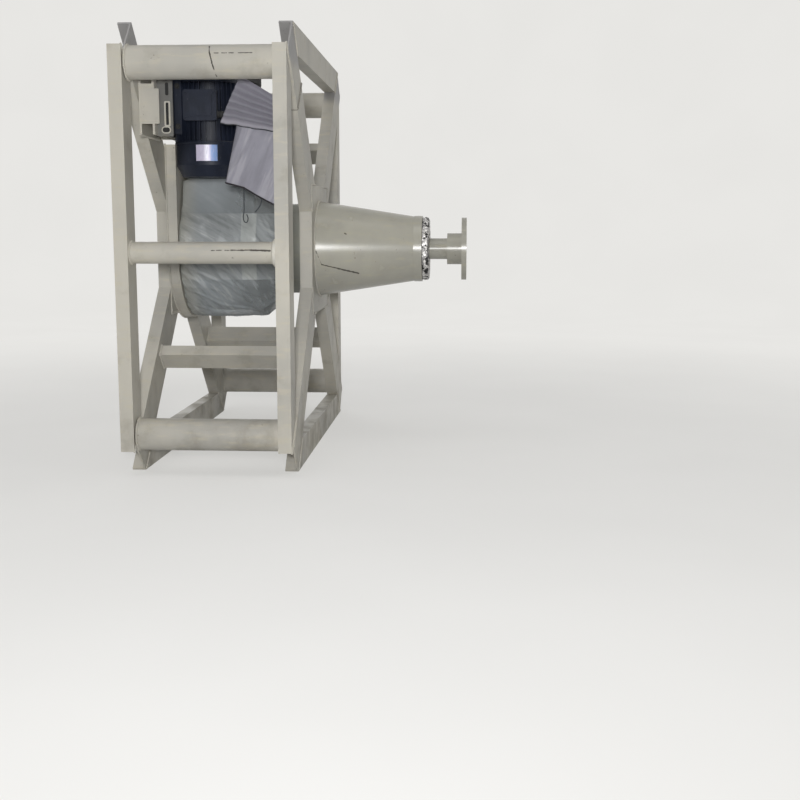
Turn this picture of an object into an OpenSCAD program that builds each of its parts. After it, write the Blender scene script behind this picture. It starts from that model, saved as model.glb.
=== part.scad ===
// Drive head of a wet pan mill, lying on its side as it is shipped.
// Two X-braced channel frames are tied by tubes and carry a bearing cone with its output
// shaft, a wrapped right-angle gearbox and a motor that drives it by V-belts.
// Millimetres. X runs along the output shaft, Y across the frames, Z is up.
// Inside the modules X starts at the outer face of the drive end's posts, and Y and Z at
// the shaft's axis.

/* [Frame] */
// Length over the posts of both end frames, along the shaft
frame_length = 607; // [560:1:700]
// Width over the front and back posts
frame_width = 1600; // [1500:5:1720]
// Height over the tips of the arms, from ground to top
frame_height = 1570; // [1500:5:1700]
// Distance that the arms, beams and hub plates stand inward of the posts' webs
arm_offset = 6; // [2:0.5:12]

/* [Channels] */
// Depth of a post's channel section, across the frame
post_depth = 100; // [80:1:120]
// Depth of an arm's channel section, in the plane of the frame
arm_depth = 146; // [120:1:160]
// Depth of a beam's channel section, in the plane of the frame
beam_depth = 100; // [80:1:146]
// Width of the flanges of every channel, along the shaft
flange_width = 48; // [40:1:60]
// Thickness of the channels' webs
web_thickness = 6; // [4:0.5:9]
// Thickness of the channels' flanges
flange_thickness = 8.5; // [6:0.5:12]
// Fillet between web and flange
root_radius = 8; // [4:0.5:12]

/* [Ties] */
// Diameter of the four corner tubes
corner_tube_d = 114; // [95:1:125]
// Wall of the corner tubes
corner_tube_wall = 5; // [3:0.5:8]
// Diameter of the two side tubes at the height of the shaft
side_tube_d = 76; // [50:1:84]
// Wall of the side tubes
side_tube_wall = 4; // [3:0.5:6]
// Thickness of the collar that closes a side tube
collar_thickness = 10; // [6:1:16]
// Width of the rungs across the arms
rung_width = 80; // [60:1:90]
// Thickness of the rungs along the arms
rung_depth = 45; // [40:1:60]
// Wall of the rungs
rung_wall = 4; // [3:0.5:6]
// Distance of a rung's centre from the shaft, in Y and in Z
rung_reach = 403; // [390:1:420]

/* [Hub plates] */
// Side of the square hub plates
hub_size = 500; // [480:2:540]
// Thickness of a hub plate
hub_plate_thickness = 14; // [10:1:20]
// Thickness of the rim round a hub plate
hub_rim = 10; // [6:1:16]
// Diameter of the opening in the drive end's hub plate
drive_hub_bore = 160; // [100:2:220]

/* [Bearing cone] */
// Length of the cone, from the hub plate to its nose
cone_length = 419; // [380:1:480]
// Diameter of the cone at the hub plate
cone_base_d = 380; // [340:2:420]
// Diameter of the cone at its nose
cone_nose_d = 260; // [220:2:290]
// Wall of the cone
cone_wall = 12; // [8:1:20]
// Width of the bearing ring that ends the cone
nose_ring_width = 33; // [24:1:50]
// How far the bearing ring stands proud of the cone
nose_ring_step = 2; // [1:0.5:5]
// Width of the seal ring on the nose
seal_width = 25; // [16:1:36]
// Diameter of the seal ring
seal_d = 246; // [180:2:256]

/* [Output shaft] */
// Diameter of the output shaft
shaft_d = 84; // [70:1:95]
// Length of shaft between the seal and the coupling
shaft_show = 75; // [50:1:110]
// Length of shaft inside the cone
shaft_inside = 330; // [200:5:360]
// Radial running clearance of the shaft in the bearing ring
shaft_clearance = 0.1; // [0.05:0.01:0.1]
// Diameter of the coupling's hub
coupling_hub_d = 125; // [110:1:150]
// Length of the coupling's hub
coupling_hub_length = 58; // [40:1:80]
// Diameter of the coupling's flange
coupling_d = 250; // [220:2:280]
// Thickness of the coupling's flange
coupling_thickness = 20; // [14:1:30]
// Pitch circle of the coupling's bolt holes
coupling_pcd = 200; // [180:2:210]
// Diameter of the coupling's bolt holes
coupling_hole_d = 18; // [12:1:22]
// Number of bolt holes in the coupling
coupling_holes = 8; // [4:1:12]

/* [Gearbox] */
// Half width of the gearbox seat, which is round below and upright above
seat_radius = 280; // [270:2:300]
// Height of the gearbox seat above the shaft
seat_height = 400; // [340:5:405]
// Depth of the gearbox seat, along the shaft
seat_depth = 40; // [30:1:50]
// Thickness of the gearbox seat's plate and rim
seat_plate = 12; // [8:1:16]
// Diameter of the round gearbox case
case_d = 500; // [470:2:510]
// Length of the round gearbox case
case_length = 396; // [380:2:420]
// Diameter of the flange ring round the case
case_ring_d = 530; // [516:2:540]
// How far the tapered end starts inside the round case
ring_step = 10; // [4:1:16]
// Width of the flange ring round the case
case_ring_width = 54; // [40:1:70]
// Length of the case's tapered end
case_taper = 95; // [60:1:110]
// Diameter of the case's tapered end where it meets the spigot
case_end_d = 376; // [370:2:420]
// Height above the shaft of the flat that carries the neck
case_top = 278; // [270:1:300]
// Diameter of the gearbox's mounting flange
gear_flange_d = 430; // [380:2:450]
// Thickness of the gearbox's mounting flange
gear_flange_thickness = 24; // [16:1:30]
// Diameter of the spigot behind the mounting flange
spigot_d = 360; // [320:2:370]
// Width of the neck across the shaft
neck_width = 380; // [320:2:400]
// Space between the seat and the neck, along the shaft
neck_setback = 30; // [20:1:40]
// Length of the neck along the shaft
neck_length = 271; // [240:1:280]
// Height of the neck's top above the shaft
neck_top = 500; // [460:2:520]
// Rounding of the neck's upright edges
neck_corner = 40; // [20:1:60]
// Diameter of the input bearing turret
turret_d = 230; // [180:2:240]
// Space between the turret and the input pulley
turret_gap = 22; // [10:1:30]
// Diameter of the input shaft
input_shaft_d = 55; // [40:1:65]

/* [Belt drive] */
// Number of V-belts
belt_count = 3; // [2:1:3]
// Spacing of the belts
belt_pitch = 20; // [18:0.5:21]
// Width of a belt
belt_width = 16; // [12:0.5:16]
// Thickness of a belt
belt_thickness = 10; // [8:0.5:12]
// Diameter of the input pulley
input_pulley_d = 260; // [220:2:280]
// Diameter of the motor pulley
motor_pulley_d = 160; // [120:2:180]
// Height of the pulleys' lower faces above the shaft
pulley_base = 646; // [642:1:650]
// Width of a pulley's cheek outside its outer grooves
pulley_cheek = 3; // [2:0.5:5]
// How far a shaft's end stands out of its pulley
shaft_end = 8; // [4:1:12]
// Clearance of a belt in its groove
belt_clearance = 0.3; // [0.1:0.1:0.5]

/* [Motor] */
// Distance of the motor's axis from the outer face of the drive end
motor_x = 249; // [246:1:260]
// Distance of the motor's axis in front of the gearbox's input shaft
motor_reach = 360; // [340:1:380]
// Space between the fins' tips and the feet's webs
foot_clearance = 0.2; // [0.1:0.1:0.5]
// Diameter over the motor's cooling fins
motor_d = 260; // [230:2:264]
// Depth of a cooling fin
fin_depth = 14; // [6:1:20]
// Thickness of a cooling fin
fin_thickness = 3; // [2:0.5:4]
// Number of cooling fins
fin_count = 40; // [20:1:44]
// Diameter of the fan cowl
cowl_d = 254; // [226:2:258]
// Height of the cowl's lower end above the shaft
cowl_base = 273; // [260:1:290]
// Length of the cowl
cowl_length = 127; // [110:1:140]
// How far the cowl's lower end draws in, all round
cowl_chamfer = 22; // [8:1:30]
// Height of the part of the cowl that draws in
cowl_taper = 40; // [20:1:50]
// Height of the motor's upper end above the shaft
motor_top = 636; // [625:1:640]
// How far the end shield stands inside the fins' tips
shield_step = 4; // [2:0.5:8]
// Height of the motor's end shield, its boss included
shield_height = 26; // [18:1:34]
// Height of the boss on the end shield
boss_height = 8; // [5:1:12]
// Number of slots in the cowl's lower end
grille_slots = 24; // [12:1:30]
// Width of a slot
grille_slot_width = 5; // [3:0.5:6]
// Depth of a slot
grille_slot_depth = 5; // [2:0.5:8]
// Radius at which the slots start
grille_inner = 32; // [28:1:40]
// Distance of the slots' outer ends from the cowl's lower edge
grille_rim = 14; // [10:1:20]
// Diameter of the motor's shaft
motor_shaft_d = 38; // [28:1:42]
// Width of the terminal box
terminal_width = 116; // [90:1:130]
// Height of the terminal box
terminal_height = 104; // [80:1:120]
// Depth of the terminal box
terminal_depth = 34; // [24:1:40]
// Height of the terminal box's centre above the shaft
terminal_z = 522; // [500:1:530]
// Width of the rating plate
plate_width = 77; // [50:1:90]
// Height of the rating plate
plate_height = 58; // [40:1:64]
// Height of the rating plate's centre above the shaft
plate_z = 356; // [350:1:360]
// Thickness of the rating plate
plate_thickness = 1.2; // [0.8:0.1:2]

/* [Motor bracket] */
// Depth of the bracket, from the arm to the rails
bracket_depth = 55; // [45:1:60]
// Thickness of the bracket's plates
bracket_plate = 8; // [6:1:12]
// Lower edge of the bracket's legs above the shaft
bracket_low = 412; // [405:1:430]
// Lower edge of the bracket's front plate above the shaft
bracket_front_low = 454; // [440:1:480]
// Upper edge of the bracket's front plate above the shaft
bracket_front_high = 587; // [575:1:600]
// Upper edge of the bracket's legs above the shaft
bracket_high = 636; // [625:1:638]
// Distance of the bracket's front face from the shaft
bracket_front = 620; // [600:1:640]
// Length of the bracket's leg on the arm
bracket_leg = 273; // [240:1:300]
// Distance of the bracket's inner rib from its front face
bracket_rib = 260; // [200:1:280]
// Distance of the back end of the bracket's outer leg from the shaft
bracket_back = 240; // [220:1:260]
// Thickness of the slide rails
rail_thickness = 8; // [6:1:12]
// Distance of the rails' front ends from the bracket's front face
rail_setback = 40; // [20:1:60]
// Width of a rail's slot
rail_slot = 14; // [10:1:18]
// Distance of a slot's ends from the rail's
rail_margin = 30; // [20:1:40]
// Height of a slide rail's section
rail_height = 42; // [34:1:50]
// How far the rails' and feet's ends stay inside the bracket's
foot_inset = 4; // [2:1:8]
// Distance of a foot's web from the motor's axis, across the motor
foot_web_y = 94; // [80:1:105]
// Thickness of a foot's web
foot_web = 14; // [10:1:18]
// How far a web's ends stay inside the foot's
foot_web_inset = 8; // [4:1:14]
// Thickness of the motor's feet
foot_thickness = 14; // [10:1:20]
// Width across the motor's feet
foot_width = 256; // [230:2:260]

/* [Wrapping] */
// Space between the gearbox and its film
film_space = 5; // [3:0.5:8]
// Thickness of the film's folds
film_thickness = 3; // [2:0.5:4]
// Length of the film along the gearbox
film_length = 392; // [360:2:396]
// Width of the sack at its folded corner
sack_width = 238; // [180:2:240]
// Distance of the sack's upper tip from its right edge
sack_tip = 165; // [120:1:180]
// Height of the sack's upper tip above the arm's centre line
sack_rise = 50; // [20:1:55]
// Height of the sack's right edge below the arm's centre line
sack_shoulder = 30; // [10:1:60]
// Height of the folded corner below the arm's centre line
sack_fold = 92; // [70:1:120]
// Width of the sack's mouth
sack_mouth = 227; // [180:1:235]
// Height of the mouth's left end below the arm's centre line
sack_drop = 299; // [240:1:320]
// How much lower the mouth's right end hangs than its left end
sack_slope = 101; // [60:1:120]
// Distance of the mouth's lowest bend from the right edge
sack_bend = 53; // [30:1:80]
// Height of the bend above the mouth's right end
sack_bend_rise = 21; // [10:1:30]
// Thickness of the hanging sack
sack_thickness = 80; // [50:1:90]
// Distance of the sack's front face from the shaft
sack_front = 590; // [585:1:600]
// Space between the sack and what it hangs on
soft_clearance = 0.3; // [0.2:0.1:0.5]

/* [Hidden] */
$fn = 96;

// Longer than any member
far = 2 * (frame_width + frame_height);

// Frame
half_width = frame_width / 2;
half_height = frame_height / 2;
web_face = arm_offset + flange_width;
cone_end_x = frame_length - flange_width;
cone_web_inner = frame_length + arm_offset - web_thickness;
// Half of an arm's depth measured upright, because the arms lie at 45 degrees
arm_reach = arm_depth / 2 / sqrt(2);
arm_slope = arm_depth / sqrt(2);
arm_centre_end = half_height - arm_reach;
corner_tube_y = half_width - corner_tube_d / 2 - 6;
corner_tube_z = half_width - arm_slope - corner_tube_d / 2 + 3;
side_tube_y = half_width - post_depth / 2;
collar_d = post_depth - 4;

// Bearing cone and output shaft, along X
cone_x = frame_length + arm_offset;
nose_x = cone_x + cone_length;
seal_x = nose_x + seal_width;
coupling_x = seal_x + shaft_show;
coupling_face = coupling_x + coupling_hub_length;
overall_length = coupling_face + coupling_thickness;

// Gearbox, along X
case_x = web_face + seat_depth;
hub_inner = cone_x - hub_plate_thickness;
gear_flange_x = hub_inner - gear_flange_thickness;
neck_x = case_x + neck_setback;
neck_centre_x = neck_x + neck_length / 2;
film_x = case_x + soft_clearance;
film_round = max(case_d, case_ring_d);

ring_start = case_length - case_taper - case_ring_width;

// Belt drive
input_x = motor_x;
pulley_width = belt_count * belt_pitch + 2 * pulley_cheek;
groove_depth = belt_thickness - 1;
belt_tilt = asin((input_pulley_d - motor_pulley_d) / 2 / motor_reach);

// Motor
motor_y = -motor_reach;
rail_x = web_face + bracket_depth;
rail_length = bracket_front - bracket_back - rail_setback;
foot_x = rail_x + rail_thickness;
foot_inner = foot_x + foot_thickness;
stator_base = cowl_base + cowl_length;
foot_mid = (bracket_low + bracket_high) / 2;
foot_height = bracket_high - bracket_low - 2 * foot_inset;
cowl_end_d = cowl_d - 2 * cowl_chamfer;

// Paint and surface colours
cream = [0.80, 0.78, 0.70];
steel = [0.62, 0.62, 0.60];
foil = [0.75, 0.75, 0.74];
navy = [0.13, 0.16, 0.23];
belt_black = [0.06, 0.06, 0.06];
label_white = [0.82, 0.82, 0.84];
film_grey = [0.66, 0.71, 0.70];
sack_grey = [0.60, 0.58, 0.61];

// Puts a piece from the shaft's frame into the part's frame
module placed()
    translate([-overall_length / 2, 0, half_height]) children();

// Extrudes an outline drawn in (Y, Z) along +X
module along_x(length)
    rotate([90, 0, 90]) linear_extrude(length) children();

// A round bar along +X
module bar_x(d, length)
    rotate([0, 90, 0]) cylinder(d = d, h = length);

// A round tube along +X
module tube_x(d, wall, length)
    difference() {
        bar_x(d, length);
        translate([-1, 0, 0]) bar_x(d - 2 * wall, length + 2);
    }

// Channel section: flanges point to -X, the web closes the +X side, depth along Y
module channel_section(depth) {
    difference() {
        translate([0, -depth / 2]) square([flange_width, depth]);
        translate([-1, -depth / 2 + flange_thickness])
            square([flange_width - web_thickness + 1, depth - 2 * flange_thickness]);
    }
    for (side = [-1, 1])
        translate([flange_width - web_thickness, side * (depth / 2 - flange_thickness)])
            root_fillet(side);
}

// Fillet in the corner between web and flange
module root_fillet(side)
    difference() {
        translate([-root_radius, side > 0 ? -root_radius : 0]) square(root_radius);
        translate([-root_radius, -side * root_radius]) circle(r = root_radius, $fn = 32);
    }

// Posts at the front and back of a frame
module frame_posts(x)
    for (side = [-1, 1])
        translate([x, 0, 0]) intersection() {
            translate([0, side * (half_width - post_depth / 2), 0])
                linear_extrude(frame_height, center = true)
                    scale([1, side]) channel_section(post_depth);
            along_x(flange_width) post_outline(side);
        }

// Side view of a post: bounded by the frame's width and by the arms
module post_outline(side)
    polygon([
        [side * (half_width - post_depth), -(half_width - post_depth - arm_slope)],
        [side * half_width, -(half_width - arm_slope)],
        [side * half_width, half_width - arm_slope],
        [side * (half_width - post_depth), half_width - post_depth - arm_slope]
    ]);

// Side view of a beam: bounded by the frame's height and by the arms
module beam_outline(side)
    polygon([
        [-(half_height - arm_slope), side * half_height],
        [half_height - arm_slope, side * half_height],
        [half_height - beam_depth - arm_slope, side * (half_height - beam_depth)],
        [-(half_height - beam_depth - arm_slope), side * (half_height - beam_depth)]
    ]);

// Beams of a frame, at the bottom (-1) and the top (1)
module frame_beams(x, sides)
    for (side = sides)
        translate([x + arm_offset, 0, 0]) intersection() {
            translate([0, 0, side * (half_height - beam_depth / 2)])
                rotate([90, 0, 0])
                    linear_extrude(frame_width, center = true) channel_section(beam_depth);
            along_x(flange_width) beam_outline(side);
        }

// One arm from the hub plate to its square-cut tip, along +Y before it is turned
module arm_member() {
    tip = arm_centre_end * sqrt(2);
    rotate([90, 0, 0]) mirror([0, 0, 1]) linear_extrude(tip) channel_section(arm_depth);
}

// Four arms of a frame
module frame_arms(x)
    translate([x + arm_offset, 0, 0])
        for (turn = [45, 135, 225, 315])
            difference() {
                rotate([turn, 0, 0]) arm_member();
                translate([-1, -hub_size / 2, -hub_size / 2])
                    cube([flange_width + 2, hub_size, hub_size]);
            }

// Hub plate: a square pan, open outwards, with a round opening
module frame_hub(x, bore)
    translate([x + arm_offset, 0, 0]) {
        translate([flange_width - hub_plate_thickness, 0, 0])
            along_x(hub_plate_thickness) difference() {
                square(hub_size, center = true);
                circle(d = bore);
            }
        along_x(flange_width - hub_plate_thickness) difference() {
            square(hub_size, center = true);
            square(hub_size - 2 * hub_rim, center = true);
        }
    }

module drive_end_posts() color(cream) frame_posts(0);
module drive_end_beams() color(cream) frame_beams(0, [-1]);
module drive_end_arms() color(cream) frame_arms(0);
module drive_end_hub_plate() color(cream) frame_hub(0, drive_hub_bore);
module cone_end_posts() color(cream) frame_posts(cone_end_x);
module cone_end_beams() color(cream) frame_beams(cone_end_x, [-1, 1]);
module cone_end_arms() color(cream) frame_arms(cone_end_x);
module cone_end_hub_plate() color(cream) frame_hub(cone_end_x, 2 * shaft_d);

// Four tubes that tie the corners of the two frames
module corner_tubes()
    color(cream)
        for (side_y = [-1, 1], side_z = [-1, 1])
            translate([web_face, side_y * corner_tube_y, side_z * corner_tube_z])
                tube_x(corner_tube_d, corner_tube_wall, cone_end_x - web_face);

// Two tubes between the posts, at the height of the shaft
module side_tubes()
    color(cream)
        for (side = [-1, 1])
            translate([flange_width, side * side_tube_y, 0])
                tube_x(side_tube_d, side_tube_wall, cone_end_x - flange_width - collar_thickness);

// Round plates that close the side tubes against the cone end's posts
module side_tube_collars()
    color(cream)
        for (side = [-1, 1])
            translate([cone_end_x - collar_thickness, side * side_tube_y, 0])
                bar_x(collar_d, collar_thickness);

// Rungs between the arms, turned along them: one in front, two at the back
module arm_rungs()
    color(cream)
        for (place = [[-1, -1], [1, -1], [1, 1]])
            translate([web_face, place[0] * rung_reach, place[1] * rung_reach])
                along_x(cone_web_inner - web_face) rotate(45 * place[0] * place[1])
                    difference() {
                        square([rung_depth, rung_width], center = true);
                        square([rung_depth - 2 * rung_wall, rung_width - 2 * rung_wall],
                            center = true);
                    }

// Hollow cone that carries the output shaft's bearing
module bearing_cone()
    color(cream) translate([cone_x, 0, 0]) rotate([0, 90, 0]) difference() {
        cylinder(d1 = cone_base_d, d2 = cone_nose_d, h = cone_length - nose_ring_width);
        translate([0, 0, -1])
            cylinder(d1 = cone_base_d - 2 * cone_wall, d2 = cone_nose_d - 2 * cone_wall,
                h = cone_length - nose_ring_width + 2);
    }

// Bearing ring at the cone's nose
module nose_ring()
    color(cream) translate([nose_x - nose_ring_width, 0, 0]) difference() {
        bar_x(cone_nose_d + 2 * nose_ring_step, nose_ring_width);
        translate([-1, 0, 0]) bar_x(shaft_d + 2 * shaft_clearance, nose_ring_width + 2);
    }

// Seal ring on the nose, wrapped in foil
module nose_seal()
    color(foil) translate([nose_x, 0, 0]) difference() {
        bar_x(seal_d, seal_width);
        translate([-1, 0, 0]) bar_x(shaft_d + 2, seal_width + 2);
    }

// Output shaft, from inside the cone to the coupling
module output_shaft()
    color(steel) translate([nose_x - shaft_inside, 0, 0])
        bar_x(shaft_d, coupling_x - nose_x + shaft_inside);

module coupling_hub()
    color(steel) translate([coupling_x, 0, 0]) bar_x(coupling_hub_d, coupling_hub_length);

// Coupling flange with its ring of bolt holes
module coupling_flange()
    color(steel) translate([coupling_face, 0, 0]) difference() {
        bar_x(coupling_d, coupling_thickness);
        for (hole = [0:coupling_holes - 1])
            rotate([360 * hole / coupling_holes, 0, 0])
                translate([-1, coupling_pcd / 2, 0])
                    bar_x(coupling_hole_d, coupling_thickness + 2);
    }

// Outline of the gearbox seat: round below, upright above
module seat_outline(inset) {
    circle(r = seat_radius - inset);
    translate([-seat_radius + inset, 0])
        square([2 * (seat_radius - inset), seat_height - inset]);
}

// Pan-shaped seat that carries the gearbox on the drive end frame
module gearbox_seat()
    color(cream) translate([web_face, 0, 0]) {
        translate([seat_depth - seat_plate, 0, 0]) along_x(seat_plate) seat_outline(0);
        along_x(seat_depth - seat_plate) difference() {
            seat_outline(0);
            seat_outline(seat_plate);
        }
    }

// Round case with its top flat, spigot and mounting flange
module gearbox_case()
    color(film_grey) {
        translate([case_x, 0, 0]) rotate([0, 90, 0]) rotate_extrude() polygon([
            [0, 0],
            [case_d / 2, 0],
            [case_d / 2, ring_start],
            [case_ring_d / 2, ring_start],
            [case_ring_d / 2, case_length - case_taper],
            [case_d / 2 - ring_step, case_length - case_taper],
            [case_end_d / 2, case_length],
            [0, case_length]
        ]);
        translate([neck_centre_x, 0, 0])
            rounded_block(neck_length, neck_width, neck_corner, 0, case_top);
        translate([case_x + case_length, 0, 0])
            bar_x(spigot_d, gear_flange_x - case_x - case_length);
        translate([gear_flange_x, 0, 0]) bar_x(gear_flange_d, gear_flange_thickness);
    }

// Rounded block above the case
module rounded_block(length, width, corner, low, high)
    translate([0, 0, low]) linear_extrude(high - low) {
        square([length - 2 * corner, width], center = true);
        square([length, width - 2 * corner], center = true);
        for (side_x = [-1, 1], side_y = [-1, 1])
            translate([side_x * (length / 2 - corner), side_y * (width / 2 - corner)])
                circle(r = corner, $fn = 48);
    }

// Neck of the gearbox with its round bearing turret
module gearbox_neck()
    color(film_grey) {
        translate([neck_centre_x, 0, 0])
            rounded_block(neck_length, neck_width, neck_corner, case_top, neck_top);
        translate([input_x, 0, neck_top]) cylinder(d = turret_d, h = pulley_base - turret_gap - neck_top);
    }

module input_shaft()
    color(steel) translate([input_x, 0, pulley_base - turret_gap])
        cylinder(d = input_shaft_d, h = turret_gap + pulley_width + shaft_end);

// Pulley with one V-groove for each belt, bored for its shaft
module grooved_pulley(d, bore)
    rotate_extrude() difference() {
        translate([bore / 2, 0]) square([(d - bore) / 2, pulley_width]);
        for (belt = [0:belt_count - 1])
            translate([0, pulley_cheek + belt_pitch * (belt + 0.5)])
                polygon([
                    [d / 2 - groove_depth - belt_clearance, -belt_width / 2 - belt_clearance],
                    [d / 2 + 1, -belt_width / 2 - belt_clearance - 0.6],
                    [d / 2 + 1, belt_width / 2 + belt_clearance + 0.6],
                    [d / 2 - groove_depth - belt_clearance, belt_width / 2 + belt_clearance]
                ]);
    }

module input_pulley()
    color(belt_black) translate([input_x, 0, pulley_base])
        grooved_pulley(input_pulley_d, input_shaft_d);

module motor_pulley()
    color(belt_black) translate([motor_x, motor_y, pulley_base])
        grooved_pulley(motor_pulley_d, motor_shaft_d);

// Points on the part of a circle that a belt wraps, from one angle to another
function wrap_points(radius, centre_y, start, stop, steps) =
    [for (step = [0:steps])
        let (angle = start + (stop - start) * step / steps)
            [radius * cos(angle), centre_y + radius * sin(angle)]];

// Plan of a belt loop at a depth below the pulleys' rims, around both pulleys
module belt_outline(depth)
    polygon(concat(
        wrap_points(input_pulley_d / 2 - depth, 0, -belt_tilt, 180 + belt_tilt, 40),
        wrap_points(motor_pulley_d / 2 - depth, motor_y, 180 + belt_tilt, 360 - belt_tilt, 28)
    ));

// V-belts, each one closed loop round both pulleys
module drive_belts()
    color(belt_black)
        for (belt = [0:belt_count - 1])
            translate([input_x, 0, pulley_base + pulley_cheek + belt_pitch * (belt + 0.5) - belt_width / 2])
                linear_extrude(belt_width) difference() {
                    belt_outline(groove_depth - belt_thickness);
                    belt_outline(groove_depth);
                }

module motor_shaft()
    color(steel) translate([motor_x, motor_y, motor_top])
        cylinder(d = motor_shaft_d, h = pulley_base + pulley_width + shaft_end - motor_top);

// Finned stator with its end shield
module motor_body()
    color(navy) translate([motor_x, motor_y, 0]) {
        translate([0, 0, stator_base]) linear_extrude(motor_top - shield_height - stator_base) {
            circle(d = motor_d - 2 * fin_depth);
            for (fin = [0:fin_count - 1])
                rotate(360 * (fin + 0.5) / fin_count)
                    translate([0, -fin_thickness / 2]) square([motor_d / 2, fin_thickness]);
        }
        translate([0, 0, motor_top - shield_height])
            cylinder(d = motor_d - 2 * shield_step, h = shield_height - boss_height);
        translate([0, 0, motor_top - boss_height]) cylinder(d = motor_d / 2, h = boss_height);
    }

// Fan cowl: its lower end draws in and has radial air slots
module motor_cowl()
    color(navy) translate([motor_x, motor_y, cowl_base]) {
        difference() {
            cylinder(d1 = cowl_end_d, d2 = cowl_d, h = cowl_taper);
            for (slot = [0:grille_slots - 1])
                rotate(360 * slot / grille_slots)
                    translate([grille_inner, -grille_slot_width / 2, -1])
                        cube([cowl_end_d / 2 - grille_rim - grille_inner, grille_slot_width,
                            grille_slot_depth + 1]);
        }
        translate([0, 0, cowl_taper]) cylinder(d = cowl_d, h = cowl_length - cowl_taper);
    }

// Foot plate of the motor and the two webs that join it to the stator
module motor_feet()
    color(navy) difference() {
        union() {
            translate([foot_x, motor_y - foot_width / 2, foot_mid - foot_height / 2])
                cube([foot_thickness, foot_width, foot_height]);
            for (side = [-1, 1])
                translate([foot_inner - 1, motor_y + side * foot_web_y - foot_web / 2,
                        foot_mid - foot_height / 2 + foot_web_inset])
                    cube([motor_x - foot_inner, foot_web, foot_height - 2 * foot_web_inset]);
        }
        translate([motor_x, motor_y, stator_base])
            cylinder(d = motor_d + 2 * foot_clearance, h = motor_top);
    }

// Terminal box on the front of the motor
module terminal_box()
    color(navy)
        translate([motor_x - terminal_width / 2, motor_y - motor_d / 2 - terminal_depth,
                terminal_z - terminal_height / 2])
            cube([terminal_width, terminal_depth, terminal_height]);

// Blank plate that follows the cowl's round front
module rating_plate()
    color(label_white) intersection() {
        translate([motor_x, motor_y, plate_z - plate_height / 2]) difference() {
            cylinder(d = cowl_d + 2 * plate_thickness, h = plate_height);
            translate([0, 0, -1]) cylinder(d = cowl_d, h = plate_height + 2);
        }
        translate([motor_x + 12 - plate_width / 2, motor_y - cowl_d, plate_z - plate_height / 2])
            cube([plate_width, cowl_d, plate_height]);
    }

// Bracket on the front upper arm: a front plate and two legs that carry the slide rails
module motor_bracket()
    color(cream) translate([web_face, 0, 0]) {
        translate([0, -bracket_front, bracket_front_low])
            cube([bracket_depth, bracket_plate, bracket_front_high - bracket_front_low]);
        translate([0, -bracket_front, bracket_low])
            cube([bracket_plate, bracket_leg, bracket_high - bracket_low]);
        translate([bracket_depth - bracket_plate, -bracket_front, bracket_low])
            cube([bracket_plate, bracket_front - bracket_back, bracket_high - bracket_low]);
        translate([0, bracket_rib - bracket_front, bracket_low])
            cube([bracket_depth, bracket_plate, bracket_high - bracket_low]);
    }

// Two slotted rails along which the motor slides to tighten the belts
module motor_rails()
    color(cream)
        for (side = [-1, 1])
            translate([rail_x, -bracket_front + rail_setback,
                    foot_mid + side * (foot_height / 2 - rail_height / 2) - rail_height / 2])
                difference() {
                    cube([rail_thickness, rail_length, rail_height]);
                    translate([-1, rail_margin, rail_height / 2 - rail_slot / 2])
                        cube([rail_thickness + 2, rail_length - 2 * rail_margin, rail_slot]);
                }

// Outer form of the wrapping at a distance from the gearbox: round the ring and the neck
module film_form(space, over) {
    translate([film_x, 0, 0]) rotate([0, 90, 0]) rotate_extrude() polygon([
        [0, -over],
        [film_round / 2 + space, -over],
        [film_round / 2 + space, case_length - case_taper],
        [case_end_d / 2 + space, film_length + over],
        [0, film_length + over]
    ]);
    translate([neck_centre_x, 0, 0])
        rounded_block(neck_length + 2 * space, neck_width + 2 * space, neck_corner + space,
            0, neck_top + space);
}

// Film round the case and the neck, as thick as its folds
module gearbox_film()
    color(film_grey) {
        difference() {
            film_form(film_space + film_thickness, 0);
            film_form(film_space, 1);
            translate([input_x, 0, 0]) cylinder(d = turret_d + 2 * film_space, h = far);
        }
    }

// Woven sack that hangs on the cone end's front arm, beside the motor
module hanging_sack()
    color(sack_grey) {
        right = cone_end_x + arm_offset - soft_clearance;
        arm = sack_front - sack_thickness / 2;
        mouth = arm - sack_drop - sack_slope;
        translate([0, -sack_front + sack_thickness, 0]) rotate([90, 0, 0])
            linear_extrude(sack_thickness) polygon([
                [right - sack_tip, arm + sack_rise],
                [right - sack_width, arm - sack_fold],
                [right - sack_mouth, mouth + sack_slope],
                [right - sack_bend, mouth + sack_bend_rise],
                [right, mouth],
                [right, arm - sack_shoulder]
            ]);
    }

placed() drive_end_posts();
placed() drive_end_beams();
placed() drive_end_arms();
placed() drive_end_hub_plate();
placed() cone_end_posts();
placed() cone_end_beams();
placed() cone_end_arms();
placed() cone_end_hub_plate();
placed() corner_tubes();
placed() side_tubes();
placed() side_tube_collars();
placed() arm_rungs();
placed() bearing_cone();
placed() nose_ring();
placed() nose_seal();
placed() output_shaft();
placed() coupling_hub();
placed() coupling_flange();
placed() gearbox_seat();
placed() gearbox_case();
placed() gearbox_neck();
placed() input_shaft();
placed() input_pulley();
placed() drive_belts();
placed() motor_pulley();
placed() motor_shaft();
placed() motor_body();
placed() motor_cowl();
placed() motor_feet();
placed() terminal_box();
placed() rating_plate();
placed() motor_bracket();
placed() motor_rails();
placed() gearbox_film();
placed() hanging_sack();
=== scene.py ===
"""Looks of a wet pan mill's drive head as it lies in its shipping container: cream paint with
its scuffs, welds, bolts, the motor's fittings, packing film round the gearbox, a woven sack
beside the motor, torn foil on the shaft seal, and a plain stage.
Lengths are in metres in the part's frame; place() takes millimetres from the drive end's
outer face and from the shaft's axis, as the part's source does."""

import math

import bmesh
import bpy
import numpy as np
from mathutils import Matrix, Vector, noise
from mathutils.bvhtree import BVHTree


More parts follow.
